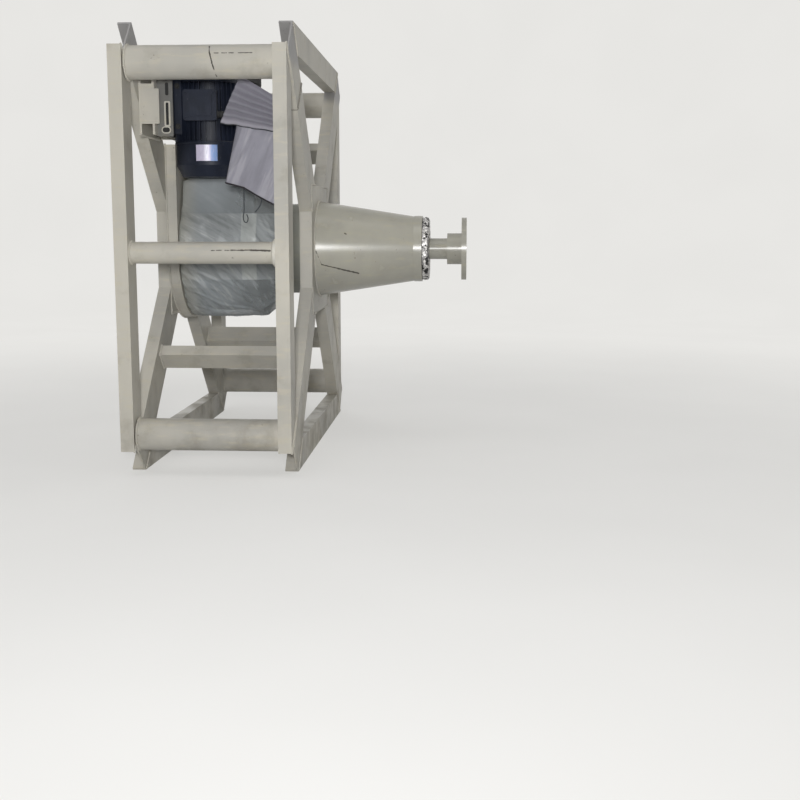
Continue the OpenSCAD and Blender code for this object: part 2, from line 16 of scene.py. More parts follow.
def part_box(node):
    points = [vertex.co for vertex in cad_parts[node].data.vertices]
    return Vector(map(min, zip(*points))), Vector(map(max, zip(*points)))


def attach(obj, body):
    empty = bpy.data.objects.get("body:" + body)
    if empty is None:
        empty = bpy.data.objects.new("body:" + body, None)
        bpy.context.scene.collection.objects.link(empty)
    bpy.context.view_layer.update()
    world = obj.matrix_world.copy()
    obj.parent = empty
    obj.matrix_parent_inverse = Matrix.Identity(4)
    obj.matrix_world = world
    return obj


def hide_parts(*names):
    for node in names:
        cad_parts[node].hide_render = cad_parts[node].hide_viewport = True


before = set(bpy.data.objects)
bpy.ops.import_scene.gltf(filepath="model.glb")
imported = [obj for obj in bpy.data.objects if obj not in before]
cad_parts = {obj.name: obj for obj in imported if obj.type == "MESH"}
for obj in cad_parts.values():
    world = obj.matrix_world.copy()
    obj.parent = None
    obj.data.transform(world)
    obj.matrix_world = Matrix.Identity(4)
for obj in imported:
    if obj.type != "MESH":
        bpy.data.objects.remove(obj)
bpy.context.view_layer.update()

bl_info = {
    "name": "Pan mill drive head looks",
    "version": (1, 0, 0),
    "blender": (4, 5, 0),
    "location": "3D View > Sidebar > Drive head",
    "description": "Paint, welds, bolts, packing film and sack of a pan mill's drive head",
    "category": "Object",
}

HEAD = "drive_head"
DRIVE_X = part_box("drive_end_posts")[0].x
SHAFT_Z = sum(c.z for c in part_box("output_shaft")) / 2
MOTOR_X, MOTOR_Y = (sum(c[axis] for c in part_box("motor_cowl")) * 500 for axis in (0, 1))
MOTOR_X -= DRIVE_X * 1000

# Millimetres, as in the part's source: where its members lie, and their sizes
CORNER_TUBE_Y, CORNER_TUBE_Z, CORNER_TUBE_R = 737, 642.8, 57
SIDE_TUBE_Y, SIDE_TUBE_R = 750, 38
RUNG_REACH, RUNG_DEPTH, RUNG_WIDTH = 403, 45, 80
CONE_BASE_R, CONE_NOSE_R, CONE_RUN = 190, 130, 386
DRIVE_ARMS_X, CONE_ARMS_X = 54, 613
SEAT_R, SEAT_TOP = 280, 400
BRACKET_LOW, BRACKET_FRONT, BRACKET_LEG = 412, 620, 273
MOTOR_D, TERMINAL_Z = 260, 522

FINISHES = {}


def place(x, y, z):
    """Point in the part's frame from millimetres off the drive end's face and the shaft's axis"""
    return Vector((DRIVE_X + x / 1000, y / 1000, SHAFT_Z + z / 1000))


def screen(red, green, blue):
    """Linear colour of an 8-bit screen colour"""
    parts = [c / 255 for c in (red, green, blue)]
    return [c / 12.92 if c <= 0.04045 else ((c + 0.055) / 1.055) ** 2.4 for c in parts]


def colour_setting(name, description, red, green, blue):
    """A colour that a user may change"""
    return bpy.props.FloatVectorProperty(
        name=name, description=description, default=screen(red, green, blue),
        subtype="COLOR", size=3, min=0, max=1)


def length_setting(name, description, default):
    """A length that a user may change"""
    return bpy.props.FloatProperty(
        name=name, description=description, default=default, min=0, unit="LENGTH")


class DRIVEHEAD_PG_paint(bpy.types.PropertyGroup):
    """Paints and their wear"""

    cream: colour_setting("Cream", "Paint of the frame and the tubes", 190, 186, 175)
    cone_cream: colour_setting("Cone cream", "Paint of the cone, the ring and the shaft", 176, 173, 160)
    # Primer grey, which also paints the shade on the upper ends and webs of the arms
    primer_and_shade: colour_setting("Primer", "Grey that shows on the upper tips of the arms", 146, 145, 146)
    navy: colour_setting("Navy", "Paint of the motor", 32, 38, 53)
    gearbox: colour_setting("Gearbox", "Paint of the gearbox under its film", 158, 158, 148)
    peel: length_setting("Orange peel", "Height of the paint's texture", 0.0005)


class DRIVEHEAD_PG_fasteners(bpy.types.PropertyGroup):
    """Welds and bolts"""

    bead: length_setting("Bead width", "Width of a weld bead", 0.009)
    ripple: length_setting("Ripple", "Length of one ripple of a weld bead", 0.005)
    bolt: length_setting("Bolt", "Thread diameter of the gearbox's bolts", 0.016)
    foot_bolt: length_setting("Foot bolt", "Thread diameter of the motor's foot bolts", 0.012)
    screw: length_setting("Screw", "Thread diameter of the motor's small screws", 0.005)


class DRIVEHEAD_PG_film(bpy.types.PropertyGroup):
    """Packing film round the gearbox"""

    colour: colour_setting("Film", "Milky colour of the film", 184, 191, 196)
    clearance: length_setting("Clearance", "Space between the gearbox and the film", 0.006)
    folds: length_setting("Folds", "Depth of the film's folds", 0.009)
    voxel: length_setting("Fineness", "Size of the film's faces", 0.0058)
    thickness: length_setting("Thickness", "Thickness of the film and its folds", 0.0009)


class DRIVEHEAD_PG_sack(bpy.types.PropertyGroup):
    """Woven sack beside the motor"""

    colour: colour_setting("Sack", "Colour of the woven cloth", 146, 145, 155)
    swell: length_setting("Swell", "Half of the sack's depth at its middle", 0.034)
    folds: length_setting("Folds", "Depth of the cloth's folds", 0.009)
    pleats: bpy.props.IntProperty(
        name="Pleats", description="Pleats in the folded end", default=7, min=3, max=12)
    hem: length_setting("Hem", "Diameter of the dark hem cord", 0.0065)
    string: length_setting("String", "Diameter of the tie strings", 0.0038)


class DRIVEHEAD_PG_stage(bpy.types.PropertyGroup):
    """Camera, lamps and floor"""

    floor: colour_setting("Floor", "Colour of the floor and the backdrop", 232, 231, 228)
    lens: bpy.props.FloatProperty(
        name="Lens", description="Focal length in millimetres on a 36 mm sensor", default=52.46)
    front_power: bpy.props.FloatProperty(
        name="Front lamp", description="Power of the lamp beside the camera", default=118, unit="POWER")
    top_power: bpy.props.FloatProperty(
        name="Top lamp", description="Power of the lamp overhead", default=36, unit="POWER")
    side_power: bpy.props.FloatProperty(
        name="Side lamp", description="Power of the lamp on the coupling's side", default=26, unit="POWER")
    sky: bpy.props.FloatProperty(
        name="Room light", description="Strength of the light from all round", default=0.23)


class Wire:
    """A node's output; sums on it are written as Python expressions and become Math nodes"""

    def __init__(self, maker, socket):
        self.maker = maker
        self.socket = socket

    def sum(self, operation, *values, clamp=False):
        """A Math node on this value and others"""
        sockets = dict(enumerate((self, *values)))
        return self.maker.add("ShaderNodeMath", sockets, operation=operation, use_clamp=clamp)

    def __add__(self, other):
        return self.sum("ADD", other)

    __radd__ = __add__

    def __mul__(self, other):
        return self.sum("MULTIPLY", other)

    __rmul__ = __mul__

    def __sub__(self, other):
        return self.sum("SUBTRACT", other)

    def __rsub__(self, other):
        return self.maker.add("ShaderNodeMath", {0: other, 1: self}, operation="SUBTRACT")

    def __truediv__(self, other):
        return self.sum("DIVIDE", other)

    def __abs__(self):
        return self.sum("ABSOLUTE")

    def highest(self, other):
        """The larger of two values"""
        return self.sum("MAXIMUM", other)

    def step(self, low, high):
        """0 below low, 1 above high and a soft rise between them"""
        sockets = {"Value": self, "From Min": low, "From Max": high}
        return self.maker.add("ShaderNodeMapRange", sockets, interpolation_type="SMOOTHSTEP")

    def out(self, name):
        """Another output of the same node"""
        return Wire(self.maker, self.socket.node.outputs[name])


class NodeMaker:
    """Adds nodes to a tree"""

    def __init__(self, tree):
        self.tree = tree

    def add(self, kind, sockets=None, out=0, **settings):
        """A node of a type: its settings come first, then the values or links of its sockets"""
        node = self.tree.nodes.new(kind)
        for name, value in settings.items():
            setattr(node, name, value)
        for name, value in (sockets or {}).items():
            self.feed(node.inputs[name], value)
        return Wire(self, node.outputs[out]) if len(node.outputs) else node

    def seen(self):
        """1 for what the camera sees, straight or by way of a mirror or a pane, 0 for other light"""
        ray = self.add("ShaderNodeLightPath", out="Is Camera Ray")
        return ray.highest(ray.out("Is Glossy Ray")).highest(ray.out("Is Transmission Ray"))

    def feed(self, socket, value):
        """Links a wire to a socket, or sets the socket's own value"""
        if isinstance(value, Wire):
            self.tree.links.new(value.socket, socket)
        elif socket.type == "RGBA" and len(value) == 3:
            socket.default_value = (*value, 1)
        else:
            socket.default_value = value


class Finish(NodeMaker):
    """A material made of nodes; once it is finished, FINISHES has it under its name"""

    def __init__(self, name):
        self.name = name
        self.material = bpy.data.materials.new(name)
        self.material.use_nodes = True
        super().__init__(self.material.node_tree)
        self.tree.nodes.clear()
        self.here = self.add("ShaderNodeTexCoord", out="Object")

    def grain(self, scale, detail=3, roughness=0.55, on=None):
        """Noise from about 0.3 to 0.7, on the object's own coordinates or on turned ones"""
        return self.add("ShaderNodeTexNoise", {"Vector": on or self.here, "Scale": scale,
                                               "Detail": detail, "Roughness": roughness})

    def vector(self, operation, sockets, out=0):
        """A Vector Math node"""
        return self.add("ShaderNodeVectorMath", sockets, out, operation=operation)

    def turned(self, scale, angle=(0, 0, 0)):
        """A pattern's coordinates, turned in degrees, then scaled"""
        turn = [math.radians(a) for a in angle]
        flat = self.add("ShaderNodeMapping", {"Vector": self.here, "Rotation": turn})
        return self.vector("MULTIPLY", {0: flat, 1: scale})

    def mix(self, factor, first, second):
        """A colour between two others"""
        return self.add("ShaderNodeMix", {0: factor, 6: first, 7: second}, 2, data_type="RGBA")

    def split(self, vector):
        """X, Y and Z of a vector"""
        x = self.add("ShaderNodeSeparateXYZ", {0: vector})
        return x, x.out("Y"), x.out("Z")

    def bump(self, height, distance, strength=1.0):
        """Surface normal of a height"""
        sockets = {"Height": height, "Distance": distance, "Strength": strength}
        return self.add("ShaderNodeBump", sockets, "Normal")

    def stroke(self, start, end, width, wander):
        """Mask of a thin mark between two points of the surface, frayed by a noise"""
        run = end - start
        gap = self.vector("SUBTRACT", {0: self.here, 1: start})
        share = self.vector("DOT_PRODUCT", {0: gap, 1: run}, "Value")
        share = (share / run.length_squared).sum("MULTIPLY", 1.0, clamp=True)
        along = self.vector("SCALE", {0: run, "Scale": share})
        off = self.vector("DISTANCE", {0: gap, 1: along}, "Value")
        return 1 - (off + (wander - 0.5) * width * 1.5).step(width * 0.4, width)

    def finish(self, shader):
        """Ends the tree in a shader"""
        self.add("ShaderNodeOutputMaterial", {"Surface": shader})
        FINISHES[self.name] = self.material

    def surface(self, **sockets):
        """A principled surface; names use _ for a space"""
        named = {key.replace("_", " ").replace("basecolor", "Base Color"): value
                 for key, value in sockets.items()}
        return self.add("ShaderNodeBsdfPrincipled", named)

    def coat(self, **sockets):
        """Ends the tree in a principled surface"""
        self.finish(self.surface(**sockets))


def dim(colour, share):
    """A colour with a share of its light"""
    return [c * share for c in colour]


def paint(name, colour, peel, stain=0.5, strokes=(), tips=None, gloss=0.44, shine=0.22):
    """Brushed-over machine paint: cloudy, slightly stained, with small chips and given marks"""
    f = Finish(name)
    cloud = f.grain(2.3, 4)
    blotch = f.grain(11, 5, 0.62)
    speck = f.grain(95, 3)
    rub = f.grain(4, 4, on=f.turned((3, 14, 14)))
    z = f.split(f.here)[2]
    warm = [colour[0] * 1.03, colour[1] * 1.0, colour[2] * 0.9]
    dull = [c * k for c, k in zip(colour, (0.80, 0.81, 0.84))]
    tint = f.mix(cloud.step(0.36, 0.64), dull, colour)
    tint = f.mix(rub.step(0.5, 0.72) * 0.5, tint, warm)
    tint = f.mix(blotch.step(0.53, 0.7) * (0.42 * stain), tint, screen(128, 119, 100))
    low = 1 - z.step(0.02, 0.42)
    dust = low * blotch.step(0.42, 0.62)
    tint = f.mix(dust * (0.34 * stain), tint, screen(118, 110, 98))
    chips = speck.step(0.70, 0.73) * blotch.step(0.5, 0.6)
    tint = f.mix(chips * 0.75, tint, screen(70, 60, 52))
    if tips:
        # Upper ends of the arms: grey primer, which also paints the shade on their upper webs
        reach = z - SHAFT_Z
        tint = f.mix(reach.step(0.62, 0.67) * 0.85, tint, tips)
        scuffs = reach.step(0.66, 0.72) * speck.step(0.62, 0.68)
        tint = f.mix(scuffs * 0.3, tint, screen(112, 108, 104))
    mark = None
    for start, end, width in strokes:
        line = f.stroke(start, end, width, speck)
        mark = line if mark is None else mark.highest(line)
    if mark:
        tint = f.mix(mark * 0.92, tint, screen(46, 40, 36))
    rough = gloss + (blotch - 0.5) * 0.2 + dust * 0.2
    height = speck * 0.35 + f.grain(260, 2) * 0.5 + blotch * 1.2 - chips * 0.8
    if mark:
        height = height - mark * 1.5
    f.coat(basecolor=tint, Roughness=rough, Normal=f.bump(height, peel, 0.5), Specular_IOR_Level=shine)


def motor_paint(name, colour, peel):
    """Dark enamel with dust on its upper faces and a soft sheen"""
    f = Finish(name)
    cloud = f.grain(7, 4)
    speck = f.grain(130, 3)
    smear = f.grain(6, 4, on=f.turned((9, 9, 2)))
    up = f.split(f.add("ShaderNodeNewGeometry", out="Normal"))[2].step(0.2, 0.95)
    tint = f.mix(cloud.step(0.35, 0.66), dim(colour, 0.5), dim(colour, 0.85))
    tint = f.mix(smear.step(0.54, 0.72) * 0.14, tint, screen(66, 70, 82))
    tint = f.mix(up * cloud.step(0.4, 0.6) * 0.4, tint, screen(112, 108, 100))
    tint = f.mix(speck.step(0.69, 0.73) * 0.4, tint, screen(96, 96, 98))
    height = speck * 0.6 + cloud * 0.6
    rough = 0.34 + smear * 0.24
    f.coat(basecolor=tint, Roughness=rough, Normal=f.bump(height, peel, 0.5), Specular_IOR_Level=0.2)


def black_rubber(name, grey):
    """Belt and seal rubber with pale dust"""
    f = Finish(name)
    cloud = f.grain(24, 4)
    ribs = f.grain(22, 2, on=f.turned((1, 1, 20)))
    tint = f.mix(cloud.step(0.48, 0.7) * 0.5, [grey] * 3, [grey * 4 + 0.01] * 3)
    height = ribs + cloud
    f.coat(basecolor=tint, Roughness=0.55 + cloud * 0.3, Normal=f.bump(height, 0.0006))


def bare_steel(name, colour, metal=0.9, rough=0.32):
    """Turned or plated steel with fine lines and a little staining"""
    f = Finish(name)
    lines = f.grain(8, 3, on=f.turned((60, 4, 4)))
    stain = f.grain(30, 4)
    tint = f.mix(stain.step(0.5, 0.7) * 0.6, colour, screen(104, 88, 70))
    f.coat(basecolor=tint, Metallic=metal, Roughness=rough + stain * 0.25,
           Normal=f.bump(lines, 0.0002, 0.6))


def foil(name):
    """Thin silver packing foil in torn patches: between them the seal shows"""
    f = Finish(name)
    tear = f.grain(46, 3, 0.7)
    crease = f.add("ShaderNodeTexVoronoi", {"Vector": f.here, "Scale": 90}, "Distance", feature="F2")
    glint = f.grain(120, 3)
    tint = f.mix(glint.step(0.35, 0.65), screen(150, 148, 150), screen(236, 234, 230))
    f.coat(basecolor=tint, Metallic=0.55, Roughness=0.22 + glint * 0.3, Alpha=tear.step(0.455, 0.475),
           Normal=f.bump(crease, 0.004, 0.9))


def blank_plate(name):
    """Bare rating plate with a painted glare across it and a painted bluish reflection at one end"""
    f = Finish(name)
    off = f.split(f.here)[0] - place(MOTOR_X + 12, 0, 0).x
    glare = off.step(-0.014, 0.0) * (1 - off.step(0.002, 0.012))
    # Painted reflection: the plate turns bluish towards one end, and a painted glare crosses it
    tint = f.mix(off.step(0.008, 0.02), screen(192, 186, 206), screen(96, 128, 178))
    tint = f.mix(glare * 0.75, tint, screen(236, 236, 246))
    smear = f.grain(20, 3, on=f.turned((18, 1, 3)))
    tint = f.mix(smear.step(0.46, 0.66) * 0.4, tint, screen(160, 154, 182))
    f.coat(basecolor=tint, Metallic=0.1, Roughness=0.3 + smear * 0.25, Normal=f.bump(smear, 0.0003))


def milky_film(name, colour):
    """Thin milky film: clearer where it lies close, whiter along its creases and where it doubles, with
    painted shade in the hollows between its folds
    """
    f = Finish(name)
    x, _, z = f.split(f.here)
    slant = f.turned((46, 12, 3.2), (0, 34, 0))
    steep = f.turned((46, 12, 3.4), (0, 62, 0))
    crease = f.grain(1.1, 5, 0.6, slant)
    streak = f.grain(1.2, 5, 0.6, steep)
    haze = f.grain(5, 3)
    high = z.step(SHAFT_Z + 0.02, SHAFT_Z + 0.05)
    fold = crease * (1 - high) + streak * high
    calm = 1 - z.step(SHAFT_Z + 0.12, SHAFT_Z + 0.15) * 0.85
    white = fold.step(0.52, 0.70) * calm
    # Painted shade: the hollows between the folds
    dark = (1 - fold.step(0.32, 0.48)) * calm
    band = z.step(SHAFT_Z - 0.118, SHAFT_Z - 0.114) * (1 - z.step(SHAFT_Z + 0.138, SHAFT_Z + 0.142))
    doubled = band * x.step(DRIVE_X + 0.335, DRIVE_X + 0.34) * (1 - x.step(DRIVE_X + 0.393, DRIVE_X + 0.398))
    far = x.step(DRIVE_X + 0.2, DRIVE_X + 0.42) * (1 - band)
    tint = f.mix(haze.step(0.35, 0.65), dim(colour, 0.86), colour)
    tint = f.mix(band * 0.3, tint, screen(184, 184, 180))
    tint = f.mix(far * 0.5, tint, screen(118, 124, 126))
    tint = f.mix((1 - x.step(DRIVE_X + 0.11, DRIVE_X + 0.18)) * 0.5, tint, screen(186, 182, 166))
    # Darkens the fold hollows as painted shade
    tint = f.mix(dark * 0.45, tint, screen(118, 124, 126))
    tint = f.mix(white * 0.5, tint, screen(202, 204, 204))
    tint = f.mix(doubled * 0.45, tint, screen(200, 203, 198))
    cover = 0.46 + white * 0.2 + haze * 0.1 + band * 0.06 + doubled * 0.14 - far * 0.08
    height = fold * calm + haze * 0.2
    f.coat(basecolor=tint, Roughness=0.26 + haze * 0.2, Alpha=cover, Normal=f.bump(height, 0.006, 0.5))


def woven_cloth(name, colour, pleated=0):
    """Flat-strip weave on the cloth's own measure, with a soft soiling, painted shade and highlight along
    the plain cloth's wrinkles, and painted shade in the pleats
    """
    f = Finish(name)
    crossing = 0.0026
    along, across, _ = f.split(f.add("ShaderNodeUVMap", uv_map="cloth"))
    warp = (along * (math.pi / crossing)).sum("SINE")
    weft = (across * (math.pi / crossing)).sum("SINE")
    over = (warp * weft).step(-0.2, 0.2)
    strips = abs(warp) * over + abs(weft) * (1 - over)
    soil = f.grain(9, 4)
    wrinkles_with_painted_light = f.grain(1.6, 4, on=f.turned((26, 6, 4), (0, -24, 0)))
    tint = f.mix(soil.step(0.5, 0.72) * 0.3, colour, dim(colour, 0.7))
    if not pleated:
        # Painted shade and highlight: darker and lighter bands along the wrinkles
        tint = f.mix(wrinkles_with_painted_light.step(0.3, 0.52), dim(colour, 0.86), tint)
        tint = f.mix(wrinkles_with_painted_light.step(0.52, 0.7) * 0.5, tint, screen(178, 176, 184))
    tint = f.mix((1 - strips.step(0.0, 0.4)) * 0.07, tint, dim(colour, 0.5))
    height = strips * 0.08 + wrinkles_with_painted_light * (0.4 if pleated else 1.5)
    if pleated:
        wave = (across * pleated).sum("FRACT")
        ridge = (wave * (2 * math.pi)).sum("SINE") * 0.5 + 0.5
        # Painted shade in the hollow of each pleat
        tint = f.mix(ridge.step(0.0, 1.0) * 0.5, tint, screen(98, 94, 106))
        lip = (across * (pleated / 7)).step(0.84, 0.95)
        tint = f.mix(lip * 0.5, tint, screen(168, 165, 174))
    f.coat(basecolor=tint, Roughness=0.6 + soil * 0.3, Normal=f.bump(height, 0.002, 0.5))


def cord_fibre(name, colour):
    """Twisted thread"""
    f = Finish(name)
    twist = f.grain(26, 2, on=f.turned((8, 8, 30), (0, 45, 0)))
    tint = f.mix(twist.step(0.4, 0.62), dim(colour, 0.5), colour)
    f.coat(basecolor=tint, Roughness=0.8, Normal=f.bump(twist, 0.0005))


def stage_floor(name, colour):
    """Plain floor that shows from above only, so that a view from below sees the object"""
    f = Finish(name)
    speck = f.grain(1.2, 2)
    tint = f.mix(speck.step(0.3, 0.7), dim(colour, 0.985), colour)
    pale = f.mix(speck.step(0.3, 0.7), (0.93, 0.93, 0.92), (0.95, 0.95, 0.94))
    glow = f.add("ShaderNodeEmission", {"Color": tint, "Strength": 1.0})
    seen = f.seen()
    matt = f.surface(basecolor=f.mix(seen, (0.62, 0.62, 0.61), pale), Roughness=0.9)
    away = f.vector("LENGTH", {0: f.here}, "Value")
    share = seen * (away.step(1.0, 5.0) * 0.42 + 0.58)
    lit = f.add("ShaderNodeMixShader", {0: share, 1: matt, 2: glow})
    clear = f.add("ShaderNodeBsdfTransparent")
    behind = f.add("ShaderNodeNewGeometry", out="Backfacing")
    f.finish(f.add("ShaderNodeMixShader", {0: behind, 1: lit, 2: clear}))


def settings(name):
    """One of the scene's groups of settings"""
    return getattr(bpy.context.scene, name)


def link(name, mesh):
    """A new object with a mesh, at the origin"""
    made = bpy.data.objects.new(name, mesh)
    bpy.context.scene.collection.objects.link(made)
    return made


def smooth(mesh):
    """Shades a mesh smooth"""
    for polygon in mesh.polygons:
        polygon.use_smooth = True
    return mesh


def outward(shape, mesh):
    """Turns the faces of a bmesh outward and moves it into a mesh"""
    bmesh.ops.recalc_face_normals(shape, faces=shape.faces)
    shape.to_mesh(mesh)
    shape.free()
    return mesh


def mesh_of(name, points, faces):
    """A smooth mesh from points and faces, with doubles merged and faces outward"""
    shape = bmesh.new()
    corners = [shape.verts.new(p) for p in points]
    for face in faces:
        shape.faces.new([corners[i] for i in face])
    bmesh.ops.remove_doubles(shape, verts=shape.verts, dist=1e-6)
    return smooth(outward(shape, bpy.data.meshes.new(name)))


def done(piece, finish):
    """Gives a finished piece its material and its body"""
    if finish:
        piece.data.materials.clear()
        piece.data.materials.append(FINISHES[finish])
    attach(piece, HEAD)
    return piece


def evaluated(piece):
    """A new mesh of a piece as its modifiers leave it"""
    graph = bpy.context.evaluated_depsgraph_get()
    return bpy.data.meshes.new_from_object(piece.evaluated_get(graph))


def baked(piece):
    """Applies a piece's modifiers to its mesh"""
    mesh = evaluated(piece)
    piece.modifiers.clear()
    piece.data = mesh
    return piece


def thicken(piece, thickness):
    """Gives a sheet its thickness, half to each side"""
    wall = piece.modifiers.new("Thickness", "SOLIDIFY")
    wall.thickness = thickness
    wall.offset = 0
    return baked(piece)


def turned_faces(turns, count, closed):
    """Faces between the copies of a line of points that is turned round an axis"""
    faces = []
    for t in range(turns):
        here, there = t * count, (t + 1) % turns * count
        for i in range(count if closed else count - 1):
            j = (i + 1) % count
            faces.append((here + i, here + j, there + j, there + i))
    return faces


def lathe(profile, turns, spin):
    """Points and faces of a closed outline turned round an axis; spin places (along, radius, angle)"""
    points = [spin(a, r, 2 * math.pi * t / turns) for t in range(turns) for a, r in profile]
    return points, turned_faces(turns, len(profile), True)


def rounded(half_wide, half_tall, corner, steps, middle=0.0):
    """Outline of a rectangle with rounded corners"""
    outline = []
    for quarter, (sx, sy) in enumerate(((1, 1), (-1, 1), (-1, -1), (1, -1))):
        for step in range(steps + 1):
            a = math.pi / 2 * (quarter + step / steps)
            outline.append((middle + sx * (half_wide - corner) + corner * math.cos(a),
                            sy * (half_tall - corner) + corner * math.sin(a)))
    return outline


def rod(name, path, diameter, closed=False):
    """A round cord or wire along points"""
    curve = bpy.data.curves.new(name, "CURVE")
    curve.dimensions = "3D"
    curve.bevel_depth = diameter / 2
    curve.bevel_resolution = 2
    curve.use_fill_caps = not closed
    spline = curve.splines.new("POLY")
    spline.points.add(len(path) - 1)
    for point, at in zip(spline.points, path):
        point.co = (*at, 1)
    spline.use_cyclic_u = closed
    piece = link(name, curve)
    mesh = evaluated(piece)
    bpy.data.objects.remove(piece)
    return link(name, smooth(mesh))


def flowing(points, steps):
    """A smooth path through points"""
    path = []
    ends = [points[0], *points, points[-1]]
    for i in range(len(points) - 1):
        a, b, c, d = (Vector(p) for p in ends[i:i + 4])
        for s in range(steps):
            t = s / steps
            path.append(0.5 * (2 * b + (c - a) * t + (2 * a - 5 * b + 4 * c - d) * t * t
                               + (3 * b - a - 3 * c + d) * t ** 3))
    path.append(Vector(points[-1]))
    return path


class Rule(NodeMaker):
    """A Geometry Nodes tree with named inputs"""

    def __init__(self, name, **inputs):
        super().__init__(bpy.data.node_groups.new(name, "GeometryNodeTree"))
        for label, kind in {"Geometry": "Geometry", **inputs, "Finish": "Material"}.items():
            self.tree.interface.new_socket(label, in_out="INPUT", socket_type="NodeSocket" + kind)
        self.tree.interface.new_socket("Geometry", in_out="OUTPUT", socket_type="NodeSocketGeometry")
        self.given = self.add("NodeGroupInput")

    def noted(self, name, kind="FLOAT_VECTOR"):
        """A value that every point carries"""
        return self.add("GeometryNodeInputNamedAttribute", {"Name": name}, data_type=kind)

    def aimed(self, axis, direction):
        """The rotation that turns an axis to a direction"""
        return self.add("FunctionNodeAlignRotationToVector", {"Vector": direction}, axis=axis)

    def chance(self, low, high):
        """A value that differs from point to point, by the rule's seed"""
        sockets = {"Min": low, "Max": high, "Seed": self.given.out("Seed")}
        return self.add("FunctionNodeRandomValue", sockets, 1, data_type="FLOAT")

    def scaled(self, x, y, z):
        """Three values as one"""
        return self.add("ShaderNodeCombineXYZ", {0: x, 1: y, 2: z})

    def repeated(self, points, shape, turn, scale):
        """A copy of a shape at every point"""
        return self.add("GeometryNodeInstanceOnPoints", {
            "Points": points, "Instance": shape, "Rotation": turn, "Scale": scale})

    def end(self, copies):
        """Ends the tree in real faces with their material"""
        real = self.add("GeometryNodeRealizeInstances", {0: copies})
        sockets = {"Geometry": real, "Material": self.given.out("Finish")}
        self.add("NodeGroupOutput", {0: self.add("GeometryNodeSetMaterial", sockets)})
        return self.tree


def by_rule(name, source, rule, slot, **values):
    """Runs a Geometry Nodes tree on a mesh and keeps the result as a plain mesh; slot is not used"""
    piece = link(name, source)
    modifier = piece.modifiers.new("Rule", "NODES")
    modifier.node_group = rule
    for item in rule.interface.items_tree:
        if item.item_type == "SOCKET" and item.in_out == "INPUT" and item.name in values:
            modifier[item.identifier] = values[item.name]
    return done(baked(piece), None)


def weld_rule():
    """Ripples of weld metal along every edge of a path mesh"""
    rule = Rule("Weld beads", Width="Float", Ripple="Float", Seed="Int")
    step = rule.given.out("Ripple")
    path = rule.add("GeometryNodeMeshToCurve", {"Mesh": rule.given})
    spots = rule.add("GeometryNodeResampleCurve", {"Curve": path, "Length": step}, mode="LENGTH")
    ripple = rule.add("GeometryNodeMeshIcoSphere", {"Radius": 0.5, "Subdivisions": 2})
    ripple = rule.add("GeometryNodeSetShadeSmooth", {0: ripple})
    wide = rule.given.out("Width") * rule.chance(0.8, 1.15)
    turn = rule.aimed("X", rule.add("GeometryNodeInputTangent"))
    return rule.end(rule.repeated(spots, ripple, turn, rule.scaled(step * 1.9, wide, wide)))


def bolt_rule():
    """A hexagon head on its washer at every point, along the point's aim, by the point's size"""
    rule = Rule("Bolt heads", Seed="Int")

    def lifted(shape, height):
        return rule.add("GeometryNodeTransform", {"Geometry": shape, "Translation": (0, 0, height)})

    def disc(sides, radius, low, high):
        sockets = {"Vertices": sides, "Radius": radius, "Depth": high - low}
        return lifted(rule.add("GeometryNodeMeshCylinder", sockets), (low + high) / 2)

    cap = rule.add("GeometryNodeMeshCone", {
        "Vertices": 6, "Radius Top": 0.66, "Radius Bottom": 0.86, "Depth": 0.1})
    head = rule.add("GeometryNodeJoinGeometry")
    for part in (disc(24, 1.06, 0, 0.17), disc(6, 0.86, 0.16, 0.69), lifted(cap, 0.68)):
        rule.tree.links.new(part.socket, head.socket.node.inputs[0])
    turn, size = rule.aimed("Z", rule.noted("aim")), rule.noted("size", "FLOAT")
    heads = rule.repeated(rule.given, head, turn, size)
    spin = rule.scaled(0, 0, rule.chance(0.0, 1.05))
    return rule.end(rule.add("GeometryNodeRotateInstances", {"Instances": heads, "Rotation": spin}))


def slot_rule():
    """Radial slots round a circle, drawn as painted shade: one flat pill at every point of a ring"""
    rule = Rule("Cowl slots", Length="Float", Width="Float")
    pill = rule.add("GeometryNodeMeshCylinder", {"Vertices": 16, "Radius": 0.5, "Depth": 1.0})
    scale = rule.scaled(rule.given.out("Length"), rule.given.out("Width"), 0.0016)
    return rule.end(rule.repeated(rule.given, pill, rule.aimed("X", rule.noted("aim")), scale))


def point_mesh(name, spots):
    """Loose points with an aim and a size: (place, aim, size)"""
    mesh = bpy.data.meshes.new(name)
    mesh.from_pydata([s[0] for s in spots], [], [])
    aim = mesh.attributes.new("aim", "FLOAT_VECTOR", "POINT")
    aim.data.foreach_set("vector", [c for s in spots for c in s[1]])
    size = mesh.attributes.new("size", "FLOAT", "POINT")
    size.data.foreach_set("value", [s[2] for s in spots])
    return mesh


def path_mesh(name, paths):
    """Edges along several paths; a path whose last point is its first is closed"""
    points, edges = [], []
    for path in paths:
        start = len(points)
        shut = (Vector(path[0]) - Vector(path[-1])).length < 1e-6
        run = path[:-1] if shut else path
        points += run
        edges += [(start + i, start + i + 1) for i in range(len(run) - 1)]
        if shut:
            edges.append((start + len(run) - 1, start))
    mesh = bpy.data.meshes.new(name)
    mesh.from_pydata(points, edges, [])
    return mesh


def ring_path(x, y, z, radius, start=0, stop=360, count=72):
    """Points of a circle or an arc round the X direction, in millimetres and degrees"""
    turns = [math.radians(start + (stop - start) * i / count) for i in range(count + 1)]
    return [place(x, y + radius * math.cos(a), z + radius * math.sin(a)) for a in turns]


